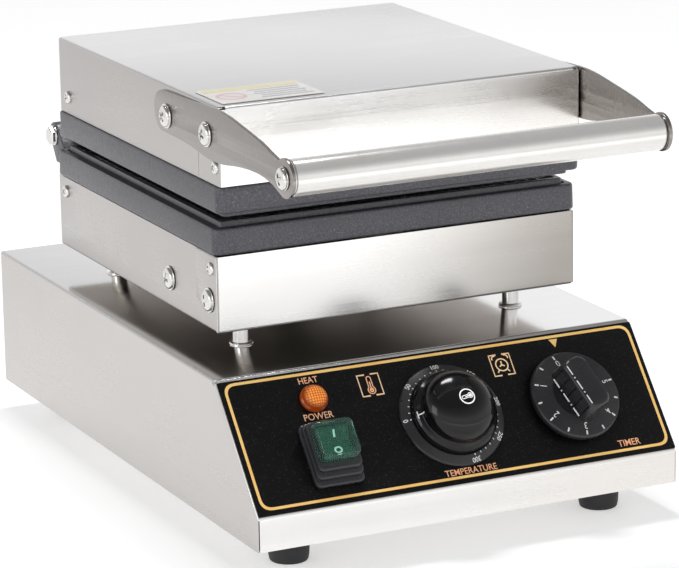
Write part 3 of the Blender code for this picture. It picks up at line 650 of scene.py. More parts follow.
def arc(centre, radius, start, end, steps=16):
    turns = [math.radians(start + (end - start) * i / steps) for i in range(steps + 1)]
    return [Vector((centre[0] + radius * math.cos(t), centre[1] + radius * math.sin(t))) for t in turns]


def circle(centre, radius, steps=48):
    return arc(centre, radius, 0, 360 - 360 / steps, steps - 1)


def rounded_loop(half_x, half_y, radius, height, centre=(0, 0), steps=7):
    """A level rounded rectangle, as points that go round once."""
    points = []
    for quarter, (sign_x, sign_y) in enumerate(((1, 1), (-1, 1), (-1, -1), (1, -1))):
        middle_of_arc = (centre[0] + sign_x * (half_x - radius), centre[1] + sign_y * (half_y - radius))
        bend = arc(middle_of_arc, radius, 90 * quarter, 90 * quarter + 90, steps)
        points += [Vector((*point, height)) for point in bend]
    return points


def bridge(builder, *rings):
    """Faces between each ring of vertices and the next one, which has as many."""
    for first, second in zip(rings, rings[1:]):
        for i in range(len(first)):
            j = (i + 1) % len(first)
            builder.faces.new((first[i], first[j], second[j], second[i]))


def turned(name, profile, finish, place=None, steps=72, sharp=32, closed=False, lift=None):
    """A profile of (radius, height) points turned about Z. lift(x, y, height) is added to each height."""
    builder = bmesh.new()
    rings = []
    for radius, height in profile:
        ring = []
        for i in range(steps if radius > 1e-7 else 1):
            angle = math.tau * i / steps
            x, y = radius * math.cos(angle), radius * math.sin(angle)
            ring.append(builder.verts.new((x, y, height + (lift(x, y, height) if lift else 0))))
        rings.append(ring)
    if closed:
        rings.append(rings[0])
    for first, second in zip(rings, rings[1:]):
        if len(first) == len(second) == steps:
            bridge(builder, first, second)
            continue
        for i in range(steps):
            j = (i + 1) % steps
            if len(first) > 1:
                builder.faces.new((first[i], first[j], second[0]))
            elif len(second) > 1:
                builder.faces.new((first[0], second[j], second[i]))
    return new_object(name, builder, finish, place, sharp)


def lofted(name, loops, finish, place=None, sharp=32):
    """A closed skin over loops that have the same number of points."""
    builder = bmesh.new()
    rings = [[builder.verts.new(point) for point in loop] for loop in loops]
    bridge(builder, *rings)
    builder.faces.new(rings[0])
    builder.faces.new(rings[-1])
    return new_object(name, builder, finish, place, sharp)


def cut_block(low, high, place=None):
    builder = bmesh.new()
    bmesh.ops.create_cube(builder, size=1)
    low, high = Vector(low), Vector(high)
    bmesh.ops.scale(builder, vec=high - low, verts=builder.verts)
    bmesh.ops.translate(builder, vec=(high + low) / 2, verts=builder.verts)
    return new_object("cutter", builder, "steel", place)


def cut_pin(radius, low, high, place=None):
    return turned("cutter", [(0, high), (radius, high), (radius, low), (0, low)], "steel", place, 40)


def add_line(curve, points, closed):
    spline = curve.splines.new("POLY")
    spline.points.add(len(points) - 1)
    for spline_point, point in zip(spline.points, points):
        spline_point.co = (*point, *(0,) * (3 - len(point)), 1)
    spline.use_cyclic_u = closed


def flat_plate(name, outline, thickness, finish, place=None, holes=(), edge=0.0002):
    """A flat outline with holes, centred on its own plane, with softened edges."""
    curve = bpy.data.curves.new(name, "CURVE")
    curve.dimensions = "2D"
    curve.fill_mode = "BOTH"
    curve.extrude = thickness / 2 - edge
    curve.bevel_depth = edge
    curve.bevel_resolution = 2 if edge else 0
    curve.offset = -edge
    for points in (outline, *holes):
        add_line(curve, points, True)
    return curve_to_mesh(name, curve, finish, place)


def curve_to_mesh(name, curve, finish, place=None, flatten=1.0):
    """A curve's or text's mesh, welded, and squeezed along Z by flatten."""
    source = bpy.data.objects.new(name + "_curve", curve)
    bpy.context.scene.collection.objects.link(source)
    mesh = evaluated_mesh(source)
    bpy.data.objects.remove(source)
    builder = bmesh.new()
    builder.from_mesh(mesh)
    bmesh.ops.remove_doubles(builder, verts=builder.verts, dist=0.000005)
    bmesh.ops.scale(builder, vec=(1, 1, flatten), verts=builder.verts)
    return new_object(name, builder, finish, place)


def stroke(points, width, closed=False, raised=False):
    """A line along points, in the plane or in space: printed flat, or raised as a round bead."""
    curve = bpy.data.curves.new("stroke", "CURVE")
    curve.dimensions = "3D"
    curve.bevel_depth = width / 2
    curve.bevel_resolution = 2
    curve.use_fill_caps = True
    add_line(curve, points, closed)
    return curve_to_mesh("stroke", curve, "ink_white", flatten=1.0 if raised else PRINT_THICKNESS / width)


def printed_block(name, outline, holes=()):
    return flat_plate(name, outline, PRINT_THICKNESS, "ink_white", None, holes, 0)


def lettering(text, size, x=0.0, y=0.0, stretch=1.0, weight=0.005):
    """Generic lettering or a number, centred at a place in the plane."""
    curve = bpy.data.curves.new("lettering", "FONT")
    curve.body = text
    curve.size = size
    curve.align_x = "CENTER"
    curve.align_y = "CENTER"
    curve.offset = size * weight
    curve.extrude = PRINT_THICKNESS / 2
    curve.resolution_u = 3
    place = move((x, y, 0)) @ Matrix.Diagonal((stretch, 1, 1, 1))
    return curve_to_mesh("lettering", curve, "ink_white", place)


def printed(name, marks, finish, place):
    """All the marks as one thin printed layer, laid by the place matrix."""
    builder = bmesh.new()
    for mark in marks:
        mesh = mark.data
        mesh.transform(mark.matrix_world)
        builder.from_mesh(mesh)
        bpy.data.objects.remove(mark)
    return new_object(name, builder, finish, place)


def fit(piece, body, slot, *nodes):
    """Puts the piece on its body and lets it stand for CAD nodes, which it hides. The slot is not used."""
    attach(piece, body)
    if nodes:
        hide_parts(*nodes)
    return piece


def smooth_route(knots, per_span):
    """Points on a Catmull-Rom curve through the knots."""
    ends = [knots[0] * 2 - knots[1], *knots, knots[-1] * 2 - knots[-2]]
    route = []
    for before, start, end, after in zip(ends, ends[1:], ends[2:], ends[3:]):
        for i in range(per_span):
            t = i / per_span
            route.append(
                0.5 * (2 * start + (end - before) * t
                       + (2 * before - 5 * start + 4 * end - after) * t ** 2
                       + (3 * start - before - 3 * end + after) * t ** 3)
            )
    return [*route, knots[-1]]


# ---------------------------------------------------------------- base shell

def paint_faces(obj, choose):
    """Gives each face the finish that choose picks from its normal and its middle."""
    chosen = [choose(face.normal, obj.matrix_world @ face.center) for face in obj.data.polygons]
    names = sorted(set(chosen))
    obj.data.materials.clear()
    for name in names:
        obj.data.materials.append(finishes[name])
    for face, name in zip(obj.data.polygons, chosen):
        face.material_index = names.index(name)
    return obj


def folded_shell(name, corners, faces, fold):
    """An open shell of flat faces with rounded folds, thickened inwards."""
    builder = bmesh.new()
    verts = [builder.verts.new(corner) for corner in corners]
    for face in faces:
        builder.faces.new([verts[i] for i in face])
    shell = new_object(name, builder, "steel")
    folds = shell.modifiers.new("folds", "BEVEL")
    folds.width = fold
    folds.segments = 5
    folds.limit_method = "ANGLE"
    skin = shell.modifiers.new("sheet", "SOLIDIFY")
    skin.thickness = SHEET
    skin.offset = -1
    skin.use_even_offset = True
    return settle(shell)


# Painted light and shade: the top, the sides and the lip of one folded sheet get steel copies of different
# lightness by the way each face looks.
def base_finish(normal, place):
    if normal.z > 0.9:
        return "steel_top"
    if abs(normal.x) > 0.6:
        return "steel_side"
    return "steel_lip"


def make_base_housing():
    half = BASE_HIGH.x
    height = BASE_HIGH.z - BASE_LOW.z
    depth = BASE_HIGH.y - BASE_LOW.y
    outline = [(0, 0), (0, LIP_HEIGHT), (SLOPE_TOP_DEPTH, height), (depth, height), (depth, 0)]
    corners = [at(x, *corner) for x in (-half, half) for corner in outline]
    faces = [(0, 4, 3, 2, 1), (5, 6, 7, 8, 9), (0, 1, 6, 5), (1, 2, 7, 6), (2, 3, 8, 7)]
    shell = folded_shell("base_shell", corners, faces, fold=0.0016)
    x, y = SWITCH_HOLE_HALF
    cutters = [cut_pin(radius, -0.004, 0.004, on_panel(place)) for place, radius in ROUND_HOLES]
    cutters += [
        cut_block((-x, -y, -0.004), (x, y, 0.004), on_panel(SWITCH_AT)),
        cut_pin(RISER_HOLE, -0.006, 0.006, upright_at("wiring_riser", BASE_HIGH.z)),
        cut_pin(CONDUIT_HOLE, -0.006, 0.006, move(middle("conduit_fitting_base"))),
    ]
    relief_radius, slit = 0.0011, 0.0005
    half_slope = Matrix.Rotation(SLOPE_ANGLE / 2, 4, "X")
    for side in SIDES.values():
        corner = move(at(side * (half - 0.0002), SLOPE_TOP_DEPTH, height))
        cutters.append(cut_pin(relief_radius, -0.003, 0.003, corner @ half_slope))
        seam = sorted((side * (half - 0.001), side * (half - 0.001 + slit)))
        cutters.append(cut_block(at(seam[0], -0.001, -0.001), at(seam[1], 0.003, LIP_HEIGHT - 0.001)))
    combine(shell, cutters)
    fit(paint_faces(shell, base_finish), "base", "steel", "base_housing")


def make_feet():
    """Turned rubber feet, each with a steel screw and washer up its recess."""
    high = FLOOR_OF_BASE
    rubber = fillet([
        (0.0026, high, 0), (0.012, high, 0.0006), (0.012, high - 0.0022, 0.0005), (0.0113, 0.003, 0.0003),
        (0.0112, 0.0026, 0.0003), (0.0106, 0.0, 0.0012), (0.0058, 0.0, 0.0005), (0.0055, 0.009, 0.0003),
        (0.0026, 0.009, 0),
    ])
    screw = fillet([
        (0, 0.0063, 0), (0.0042, 0.0066, 0.001), (0.0046, 0.0083, 0.0003), (0.0052, 0.0084, 0.0002),
        (0.0052, 0.009, 0), (0.0022, 0.0091, 0), (0.0022, high + 0.002, 0), (0, high + 0.002, 0),
    ])
    for corner in CORNERS:
        name = f"foot_{corner}"
        place = upright_at(name)
        fit(turned(f"rubber_{name}", rubber, "rubber", place, closed=True), "base", "black_rubber", name)
        fit(turned(f"screw_of_{name}", screw, "screw", place, 40), "base", "polished_steel")


def make_standoffs():
    """Polished spacers, each on a flanged washer, between the base and the lower pan."""
    low, high = BASE_HIGH.z + 0.00005, PAN_LOW.z - 0.00005
    post = fillet([
        (0, high, 0), (0.0046, high, 0.0002), (0.0048, high - 0.0006, 0.0002),
        (0.0048, low + 0.0015, 0.0002), (0.0052, low + 0.0012, 0.0001), (0.0066, low + 0.0012, 0.0003),
        (0.0069, low + 0.0006, 0.0003), (0.0068, low, 0), (0, low, 0),
    ])
    for corner in CORNERS:
        name = f"standoff_{corner}"
        fit(turned(f"post_{name}", post, "polished", upright_at(name), 56), "base", "polished_steel", name)


# ---------------------------------------------------------------- printed panel

def make_film():
    half = BASE_HIGH.x - 0.0006
    lower_edge, upper_edge = 0.0009, 0.0021
    outline = rounded_outline((-half, lower_edge), (half, SLOPE_LENGTH - upper_edge), 0.0012)
    switch, switch_half = Vector(SWITCH_AT), Vector(SWITCH_HOLE_HALF)
    holes = [circle(place, radius) for place, radius in ROUND_HOLES]
    holes.append(rounded_outline(switch - switch_half, switch + switch_half, 0.0006))
    thickness = FILM_TOP - GAP
    place = PANEL @ move((0, 0, GAP + thickness / 2))
    film = flat_plate("printed_film", outline, thickness, "film", place, holes, 0.00008)
    fit(film, "base", "control_film", "control_label")


def bracketed_box(centre, half):
    """Two square brackets round an icon, open at the middle of the top and of the bottom."""
    x, y = centre
    marks = []
    for side in (-half, half):
        corners = ((0.28, half), (1, half), (1, -half), (0.28, -half))
        marks.append(stroke([(x + side * share, y + rise) for share, rise in corners], 0.0009))
    return marks


def thermometer_icon(centre, size, lean=0.0, line=0.0006):
    """An outlined thermometer: a stem with a round bulb and a filled column."""
    stem, bulb = size * 0.14, size * 0.24
    foot = Vector((0, -size * 0.34))
    outline = [*arc((0, size * 0.42), stem, 0, 180, 10), *arc(foot, bulb, 126, 414, 24)]
    column = [foot, Vector((0, size * 0.22))]
    blob = circle(foot, bulb * 0.42, 20)
    turn = Matrix.Rotation(math.radians(lean), 2)
    marks = []
    for points, width, closed in ((outline, 1.0, True), (column, 1.2, False), (blob, 1.4, True)):
        turned_points = [turn @ point + Vector(centre) for point in points]
        marks.append(stroke(turned_points, line * width, closed))
    return marks


def clock_icon(centre, size):
    """An outlined alarm clock: a face with two hands, two bells and two feet."""
    x, y = centre
    face, line = size * 0.56, 0.0008
    marks = [stroke(circle(centre, face, 32), line, True)]
    for minutes, reach in ((0, 0.62), (20, 0.5), (40, 0.5)):
        angle = math.radians(90 - minutes * 6)
        tip = (x + face * reach * math.cos(angle), y + face * reach * math.sin(angle))
        marks.append(stroke([centre, tip], line))
    for side in (-1, 1):
        start = 25 - side * 45
        bell = arc((x + side * size * 0.5, y + size * 0.62), size * 0.26, start, start + 130, 8)
        marks.append(stroke(bell, line))
        foot = [(x + side * face * 0.7, y - face * 0.8), (x + side * face, y - face * 1.22)]
        marks.append(stroke(foot, line))
    return marks


def make_panel_print():
    layer = PANEL @ move((0, 0, FILM_TOP + PRINT_THICKNESS / 2))
    outer = rounded_outline((-0.1265, 0.0038), (0.127, 0.08), 0.007)
    inner = rounded_outline((-0.1249, 0.0054), (0.1254, 0.0784), 0.0059)
    triangle = [(0.075, 0.0776), (0.0804, 0.0776), (0.0777, 0.0725)]
    border = [printed_block("border", outer, [inner]), printed_block("triangle", triangle)]
    words = [lettering(word, size, x, y, stretch=0.92) for word, x, y, size in (
        ("HEAT", -0.0766, 0.075, 0.0052), ("POWER", -0.0771, 0.0532, 0.0056),
        ("TEMPERATURE", 0.0013, 0.0077, 0.0053), ("TIMER", 0.1019, 0.0086, 0.0056),
    )]
    thermometer, clock = (-0.041, 0.0669), (0.0413, 0.0669)
    words += thermometer_icon(thermometer, 0.0092)
    frames = [*bracketed_box(thermometer, 0.0064), *bracketed_box(clock, 0.0064), *clock_icon(clock, 0.0066)]
    for name, marks, ink in (
        ("printed_border", border, "ink_yellow"), ("printed_words", words, "ink_orange"),
        ("printed_frames", frames, "ink_cream"),
    ):
        fit(printed(name, marks, ink, layer), "base", "control_film")


# ---------------------------------------------------------------- controls

def make_lamp():
    """An amber lens whose dome is moulded in small square facets."""
    seat = FILM_TOP + GAP / 2

    def facets(x, y, height):
        if math.hypot(x, y) > 0.006 or height < 0.002:
            return 0
        bulge = abs(math.cos(math.pi * x / LAMP_FACET)) * abs(math.cos(math.pi * y / LAMP_FACET))
        return -0.0005 * (1 - bulge)

    dome_radius = 0.0064
    shares = [i / 22 for i in range(23)]
    dome = [(dome_radius * share, 0.0046 + 0.0032 * math.sqrt(1 - (0.94 * share) ** 2)) for share in shares]
    rim = fillet([
        (dome_radius, 0.0052, 0), (0.0068, 0.005, 0.0002), (0.0072, 0.0034, 0.0003),
        (LAMP_RADIUS, 0.0026, 0.0004), (LAMP_RADIUS, seat, 0.0002), (0.006, seat, 0), (0.006, -0.008, 0),
        (0, -0.008, 0),
    ])
    lens = turned("faceted_lens", dome + rim, "amber", on_panel(LAMP_AT), 96, 20, lift=facets)
    fit(lens, "base", "amber_lens", "lamp_lens")


def stepped_loops(steps, radius):
    """Rounded rectangles from (half width, half length, height, middle) steps. The last may be left out."""
    return [rounded_loop(x, y, radius, height, (0, sum(shift))) for x, y, height, *shift in steps]


def make_switch():
    """The black surround in three steps that lean up the slope, and the clear boot over the rocker."""
    place = on_panel(SWITCH_AT)
    step_height, groove = 0.0026, 0.0006
    halves_and_shifts = ((0.0148, 0.0188, 0.0), (0.0141, 0.0167, 0.0013), (0.0133, 0.0146, 0.0026))
    steps = []
    for index, (x, y, shift) in enumerate(halves_and_shifts):
        bottom = FILM_TOP + GAP / 2 + index * (step_height + groove)
        top = bottom + step_height
        steps += [(x - inset, y - inset, height, shift) for inset, height in (
            (0.0006, bottom), (0.0001, bottom + 0.0003), (0, bottom + 0.0006), (0, top - 0.0008),
            (0.0002, top - 0.0003), (0.0007, top), (0.0016, top), (0.0017, top + groove),
        )]
    body = lofted("switch_surround", stepped_loops(steps, 0.0034), "switch_black", place)
    x, y = (half - GAP for half in SWITCH_HOLE_HALF)
    tail = lofted("tail", stepped_loops([(x, y, -0.022), (x, y, 0.0015)], 0.001), "switch_black", place)
    combine(body, [tail], "UNION")
    well = ROCKER_HALF_LENGTH + 0.0011
    combine(body, [cut_block(
        (-0.0098, ROCKER_MIDDLE - well, -0.006), (0.0098, ROCKER_MIDDLE + well, 0.02), place,
    )])
    fit(body, "base", "black_plastic", "switch_body")

    half = ROCKER_HALF_LENGTH + 0.0022
    outer = ((0, 0.0102), (-0.0001, 0.0106), (0, 0.015), (0.0004, 0.0163), (0.0013, 0.0173), (0.003, 0.0177))
    inner = ((0.0034, 0.0168), (0.002, 0.0166), (0.0012, 0.016), (0.0009, 0.0148), (0.0008, 0.0102))
    builder = bmesh.new()
    rings = []
    for inset, height in (*outer, *inner):
        loop = rounded_loop(0.0121 - inset, half - inset, 0.004 - inset * 0.5, height, (0, ROCKER_MIDDLE))
        rings.append([builder.verts.new(point) for point in loop])
    split = len(outer)
    bridge(builder, *rings[:split])
    bridge(builder, *rings[split:])
    bridge(builder, rings[0], rings[-1])
    builder.faces.new(rings[split - 1])
    builder.faces.new(rings[split])
    fit(new_object("splash_boot", builder, "boot", place), "base", "clear_boot", "switch_boot")


def make_rocker():
    """The green rocker with its two printed marks, pressed at the lower half."""
    pivot, tilt = 0.0052, 8
    half, shift = ROCKER_HALF_LENGTH, ROCKER_MIDDLE
    place = on_panel(SWITCH_AT) @ move((0, 0, pivot)) @ spin(tilt, "X")
    side = fillet([
        (shift - half, 0.0086, 0.0012), (shift - half - 0.0003, 0.003, 0.0004), (-0.005, -0.0062, 0.0008),
        (0.005, -0.0062, 0.0008), (shift + half + 0.0003, 0.003, 0.0004), (shift + half, 0.008, 0.0012),
        (shift, 0.0052, 0.002),
    ], closed=True)
    rocker = flat_plate("rocker_cap", side, 0.018, "rocker", place @ SIDE_PLANE, edge=0.0005)
    fit(rocker, "rocker", "green_rocker", "power_rocker")
    bar = stroke([(0, -0.0021), (0, 0.0021)], 0.0012)
    ring = stroke(circle((0, 0), 0.0019, 32), 0.0011, True)
    reach = half * 0.52
    for mark, sign, rise in ((bar, 1, 0.0028), (ring, -1, 0.0034)):
        spot = move((0, shift + sign * reach, 0.0053 + reach * rise / half))
        mark.matrix_world = spot @ Matrix.Rotation(sign * math.atan2(rise, half), 4, "X")
    fit(printed("rocker_marks", [bar, ring], "mark_white", place), "rocker", "white_plastic")


def on_cone(mark, radius, angle, flat, rim):
    """Lays a mark on a dial's sloping face, which runs between two (radius, height) points.

    radius and angle say where, from the dial's middle and from its top.
    """
    lean = math.atan2(flat[1] - rim[1], rim[0] - flat[0])
    height = flat[1] - (radius - flat[0]) * math.tan(lean) + 0.00006
    lie = spin(angle, "Z") @ move((0, radius, height)) @ Matrix.Rotation(-lean, 4, "X")
    mark.matrix_world = lie @ mark.matrix_world
    return mark


def make_thermostat():
    """The fixed scale ring with its degrees, and the domed knob with its pointer and icon."""
    place = on_panel(THERMOSTAT_AT)
    seat = FILM_TOP + GAP / 2
    flat, rim = (0.0258, 0.0042), (0.0304, 0.0026)
    ring = fillet([
        (0.006, 0.0034, 0), (0.0252, 0.0034, 0), (0.0254, 0.0042, 0.0002), (*flat, 0.0004), (*rim, 0.0005),
        (0.031, 0.0016, 0.0003), (0.031, seat, 0), (0.006, seat, 0),
    ])
    scale = turned("scale_ring", ring, "ring_black", place, 96, closed=True)
    fit(scale, "base", "black_plastic", "thermostat_bezel")
    marks = []
    labels, dots_each = 7, 5
    per_label = THERMOSTAT_TURN / (labels - 1)
    for index in range(labels):
        angle = 90 - per_label * index
        label = lettering(str(50 * index), 0.004, stretch=0.92, weight=0.016)
        marks.append(on_cone(label, 0.029, angle, flat, rim))
        for dot in range(dots_each if index < labels - 1 else 1):
            spot = stroke([(-0.0003, 0), (0.0003, 0)], 0.001)
            marks.append(on_cone(spot, 0.0263, angle - per_label * dot / dots_each, flat, rim))
    fit(printed("scale_numbers", marks, "ink_white", place), "base", "white_plastic")

    foot, crown_height, girth = 0.0118, 0.026, 0.0214

    def dome_height(radius):
        share = min(1.0, radius / girth)
        return foot + (crown_height - foot) * (1 - share ** 2.15) ** 0.47

    radii = [girth * math.sin(math.pi * i / 60) for i in range(31)]
    knob = [(radius, dome_height(radius)) for radius in radii]
    knob += fillet([
        (girth, foot - 0.0001, 0), (0.0216, 0.0104, 0.001), (0.0236, 0.0092, 0.0016),
        (0.0247, 0.008, 0.0008), (0.025, 0.007, 0.0004), (0.025, 0.0049, 0.0003), (0.0247, 0.0046, 0),
        (0.0033, 0.0046, 0), (0.0033, 0.0183, 0), (0, 0.0183, 0),
    ], steps=6)
    cap = turned("dome_knob", knob, "gloss_black", place, 128)
    fit(cap, "thermostat_dial", "black_plastic", "thermostat_knob")
    icon = [stroke(circle((0, 0), 0.0043, 48), 0.0007, True), *thermometer_icon((0, 0), 0.006, 100, 0.00045)]
    for mark in icon:
        for vert in mark.data.vertices:
            vert.co.z += dome_height(math.hypot(vert.co.x, vert.co.y)) + 0.00004
    fit(printed("knob_icon", icon, "mark_white", place), "thermostat_dial", "white_plastic")

    stem = [(-0.0238, 0, 0.00925), (-0.0226, 0, 0.00995), (-0.02155, 0, 0.0112), (-0.02138, 0, 0.0128)]
    head_radius, head_half = 0.0239, 0.0021
    turns = [math.asin(head_half * share / head_radius) for share in (-1, -0.5, 0, 0.5, 1)]
    head = [(-head_radius * math.cos(turn), head_radius * math.sin(turn), 0.00915) for turn in turns]
    pointer = [stroke(points, 0.0008, raised=True) for points in (stem, head)]
    fit(printed("knob_pointer", pointer, "ink_white", place), "thermostat_dial", "white_plastic")


def make_timer():
    """The conical minute dial and its ribbed bar grip, which turn together."""
    place = on_panel(TIMER_AT, TIMER_REST_TURN)
    flat, rim = (0.015, 0.0092), (0.0258, 0.0072)
    dial = fillet([
        (0, 0.0084, 0), (0.0138, 0.0084, 0.0004), (0.0144, 0.0092, 0.0003), (*flat, 0.0006), (*rim, 0.0006),
        (0.0266, 0.0062, 0.0004), (0.0268, 0.005, 0.0003), (0.0268, 0.0038, 0.0002), (0.0264, 0.0036, 0),
        (0, 0.0036, 0),
    ])
    body = turned("minute_dial", dial, "ring_black", place, 96)
    grip_steps = [
        (0.0088, 0.0176, 0.0078), (0.0086, 0.0174, 0.0096), (0.0076, 0.016, 0.0222), (0.0074, 0.0157, 0.023),
        (0.0069, 0.0152, 0.0237), (0.0061, 0.0144, 0.024),
    ]
    grip = lofted("grip", stepped_loops(grip_steps, 0.005), "ring_black", place, 40)
    pitch, rib = 0.0064, 0.0008
    cutters = []
    for index in range(5):
        slant = move((-0.0084, pitch * (index - 2), 0.016)) @ spin(6, "Y")
        cutters.append(cut_block((-0.0016, -rib / 2, -0.006), (0.0014, rib / 2, 0.006), place @ slant))
    combine(grip, cutters)
    combine(body, [grip], "UNION")
    fit(body, "timer_dial", "black_plastic", "timer_knob")

    marks = []
    per_minute = 53.5
    start = 15 - TIMER_REST_TURN
    for half_minute in range(11):
        angle = start + per_minute * half_minute / 2
        marks.append(on_cone(stroke([(0, 0), (0, 0.0024)], 0.001), 0.0228, angle, flat, rim))
        if half_minute % 2 == 0:
            number = lettering(str(half_minute // 2), 0.0056, stretch=0.85)
            marks.append(on_cone(number, 0.0199, angle, flat, rim))
    dashes = ((-0.0125, -0.0068), (-0.0052, -0.0044), (-0.0028, 0.003), (0.0046, 0.0054), (0.007, 0.0128))
    for x, height, lean in ((-0.0058, 0.02408, 0), (-0.00885, 0.0102, 60)):
        for first, last in dashes:
            line = stroke([(0, first), (0, last)], 0.0008)
            line.matrix_world = move((x, 0, height)) @ spin(-lean, "Y")
            marks.append(line)
    fit(printed("minute_marks", marks, "ink_white", place), "timer_dial", "white_plastic")


# ---------------------------------------------------------------- trays

# Painted light and shade: faces of one folded sheet get lighter or darker copies of the steel by the way they
# look; the underside is darkest and the brow, the casing's front, lightest.
def sheet_finish(normal, place):
    if normal.z < -0.85:
        return "steel_under"
    if normal.z > 0.85:
        return "steel_lid"
    if abs(normal.x) > 0.6:
        return "steel_wall"
    return "steel_front" if place.z < PAN_HIGH.z + 0.001 else "steel_brow"


def make_tray(name, low, high, open_top, cutters):
    """A folded five-sided tray with rounded folds, open above or below."""
    x, y = (low.x, high.x), (low.y, high.y)
    shut, free = (low.z, high.z) if open_top else (high.z, low.z)
    corners = [Vector((i, j, k)) for k in (shut, free) for i in x for j in y]
    faces = [(0, 1, 3, 2), (0, 2, 6, 4), (1, 3, 7, 5), (0, 1, 5, 4), (2, 3, 7, 6)]
    shell = folded_shell(f"{name}_shell", corners, faces, fold=0.0017)
    return combine(shell, cutters)


def pin_across(radius, depth, height):
    return cut_pin(radius, -0.13, 0.13, move(at(0, depth, height)) @ spin(90, "Y"))


def make_lower_pan():
    cutters = [pin_across(SCREW_HOLE, *place) for place in PAN_SCREWS]
    cutters.append(cut_pin(RISER_HOLE, -0.006, 0.006, upright_at("wiring_riser", PAN_LOW.z)))
    pan = make_tray("lower_pan", PAN_LOW, PAN_HIGH, True, cutters)
    front = PAN_LOW.y - LIP_Y + 0.001
    low, high = PAN_LOW.z - FLOOR_OF_BASE + 0.0006, PAN_HIGH.z - FLOOR_OF_BASE - 0.0004
    outline = [(front, low), (0.0885, low), (0.1155, 0.1135), (0.1155, high), (front, high)]
    tabs = [
        flat_plate("tab", outline, LAP, "steel_side", on_side(side * (PAN_HIGH.x + LAP / 2)), edge=0.0001)
        for side in SIDES.values()
    ]
    join_meshes(pan, tabs)
    fit(paint_faces(pan, sheet_finish), "base", "steel", "lower_pan")


def make_upper_casing():
    cutters = [pin_across(SCREW_HOLE, *place) for place in BRACKET_SCREWS]
    for side in SIDES.values():
        corner = (side * (CASING_HIGH.x - 0.0002), CASING_LOW.y + SHEET, CASING_HIGH.z - SHEET)
        cutters.append(cut_pin(0.0012, -0.004, 0.004, move(corner) @ spin(90, "Y")))
        wall = sorted((side * (CASING_HIGH.x - 0.0004), side * (CASING_HIGH.x + 0.001)))
        cutters.append(cut_block(at(wall[0], 0.108, 0.1835), at(wall[1], 0.1085, 0.2262)))
    fitting = middle("conduit_fitting_lid")
    rear_wall = move((fitting.x, CASING_HIGH.y, fitting.z))
    cutters.append(cut_pin(CONDUIT_HOLE, -0.01, 0.01, rear_wall @ spin(90, "X")))
    casing = make_tray("upper_casing", CASING_LOW, CASING_HIGH, False, cutters)
    fit(paint_faces(casing, sheet_finish), "lid", "steel", "upper_casing")


# ---------------------------------------------------------------- castings

def waffle_field(low, high, floor_height, ridge, up):
    """A closed slab of square cells with sloping walls and flat ridges between them. up is 1 or -1."""
    pitch = 0.0072
    crest, foot, skirt = 0.0009, 0.002, 0.001
    lines = []
    for start, end in zip(low, high):
        count = round((end - start) / pitch)
        step = (end - start) / count
        line = [(start, ridge)]
        for cell in (start + n * step for n in range(count)):
            line += [(cell + crest / 2, ridge), (cell + foot, 0)]
            line += [(cell + step - foot, 0), (cell + step - crest / 2, ridge)]
        lines.append([*line, (end, ridge)])
    builder = bmesh.new()
    rows = [
        [builder.verts.new((x, y, floor_height + up * max(rise_x, rise_y))) for x, rise_x in lines[0]]
        for y, rise_y in lines[1]
    ]
    for first, second in zip(rows, rows[1:]):
        for corners in zip(first, first[1:], second[1:], second):
            builder.faces.new(corners)
    edge = [*rows[0], *[row[-1] for row in rows[1:]], *rows[-1][-2::-1], *[row[0] for row in rows[-2:0:-1]]]
    under = [builder.verts.new((vert.co.x, vert.co.y, floor_height - up * skirt)) for vert in edge]
    bridge(builder, edge, under)
    builder.faces.new(under)
    return new_object("waffle_field", builder, "cast", sharp=20)


def make_cast_plate(level, body, back, face, up):
    """A cast plate with rounded edges, a groove and a rim round a waffled field, and two hinge ears.

    back and face are heights above the housing's lower edge, and up is 1 where the face is above.
    """
    node_name = f"{level}_plate"
    rear = PLATE_REARS[level]
    low = Vector((-0.1135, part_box(node_name)[0].y))
    high = Vector((0.1135, rear + LIP_Y))
    half, centre = (high - low) / 2, (high + low) / 2
    round_edge, rim = 0.0015, 0.0028
    loops = [
        rounded_loop(half.x - inset, half.y - inset, radius, start + up * rise + FLOOR_OF_BASE, centre, 6)
        for inset, radius, start, rise in (
            (round_edge, 0.0035, back, 0), (0.0007, 0.0042, back, 0.0002), (0.0002, 0.0047, back, 0.0007),
            (0, 0.005, back, round_edge), (0.0003, 0.005, face, -round_edge),
            (0.0005, 0.0048, face, -0.0007), (0.001, 0.0043, face, -0.0002), (0.0019, 0.0036, face, 0),
            (0.0041, 0.003, face, 0), (0.0044, 0.0028, face, -0.001), (0.0053, 0.0027, face, -0.001),
            (0.0056, 0.0026, face, 0), (0.0057, 0.0026, face, rim - 0.0006),
            (0.006, 0.0024, face, rim - 0.0001), (0.0065, 0.0022, face, rim), (0.0088, 0.0016, face, rim),
            (0.0092, 0.0014, face, rim - 0.0002), (0.0095, 0.0012, face, rim - 0.0008),
            (0.0098, 0.001, face, 0),
        )
    ]
    plate = lofted(f"cast_{node_name}", loops[::up], "cast")
    inset = Vector((0.01, 0.01))
    field = waffle_field(low + inset, high - inset, face + FLOOR_OF_BASE + up * 0.0001, 0.0015, up)
    root = rear - 0.004
    before, after = {
        "lower": ([(root, 0.147, 0), (HINGE_AT[0] - 0.002, 0.147, 0.002)], [(root, 0.156)]),
        "upper": ([(root, 0.1795, 0), (root, 0.1705, 0)], []),
    }[level]
    outline = [*fillet(before), *arc(HINGE_AT, 0.008, *LUG_ARCS[level], 24), *after]
    inner, outer = LUG_SPANS[level]
    bore = [circle(HINGE_AT, HINGE_BORE, 32)]
    ears = [
        flat_plate("ear", outline, outer - inner, "cast", on_side(side * (inner + outer) / 2), bore, 0.0007)
        for side in SIDES.values()
    ]
    join_meshes(plate, [field, *ears])
    fit(plate, body, "cast_plate", node_name)


# ---------------------------------------------------------------- screws and handle

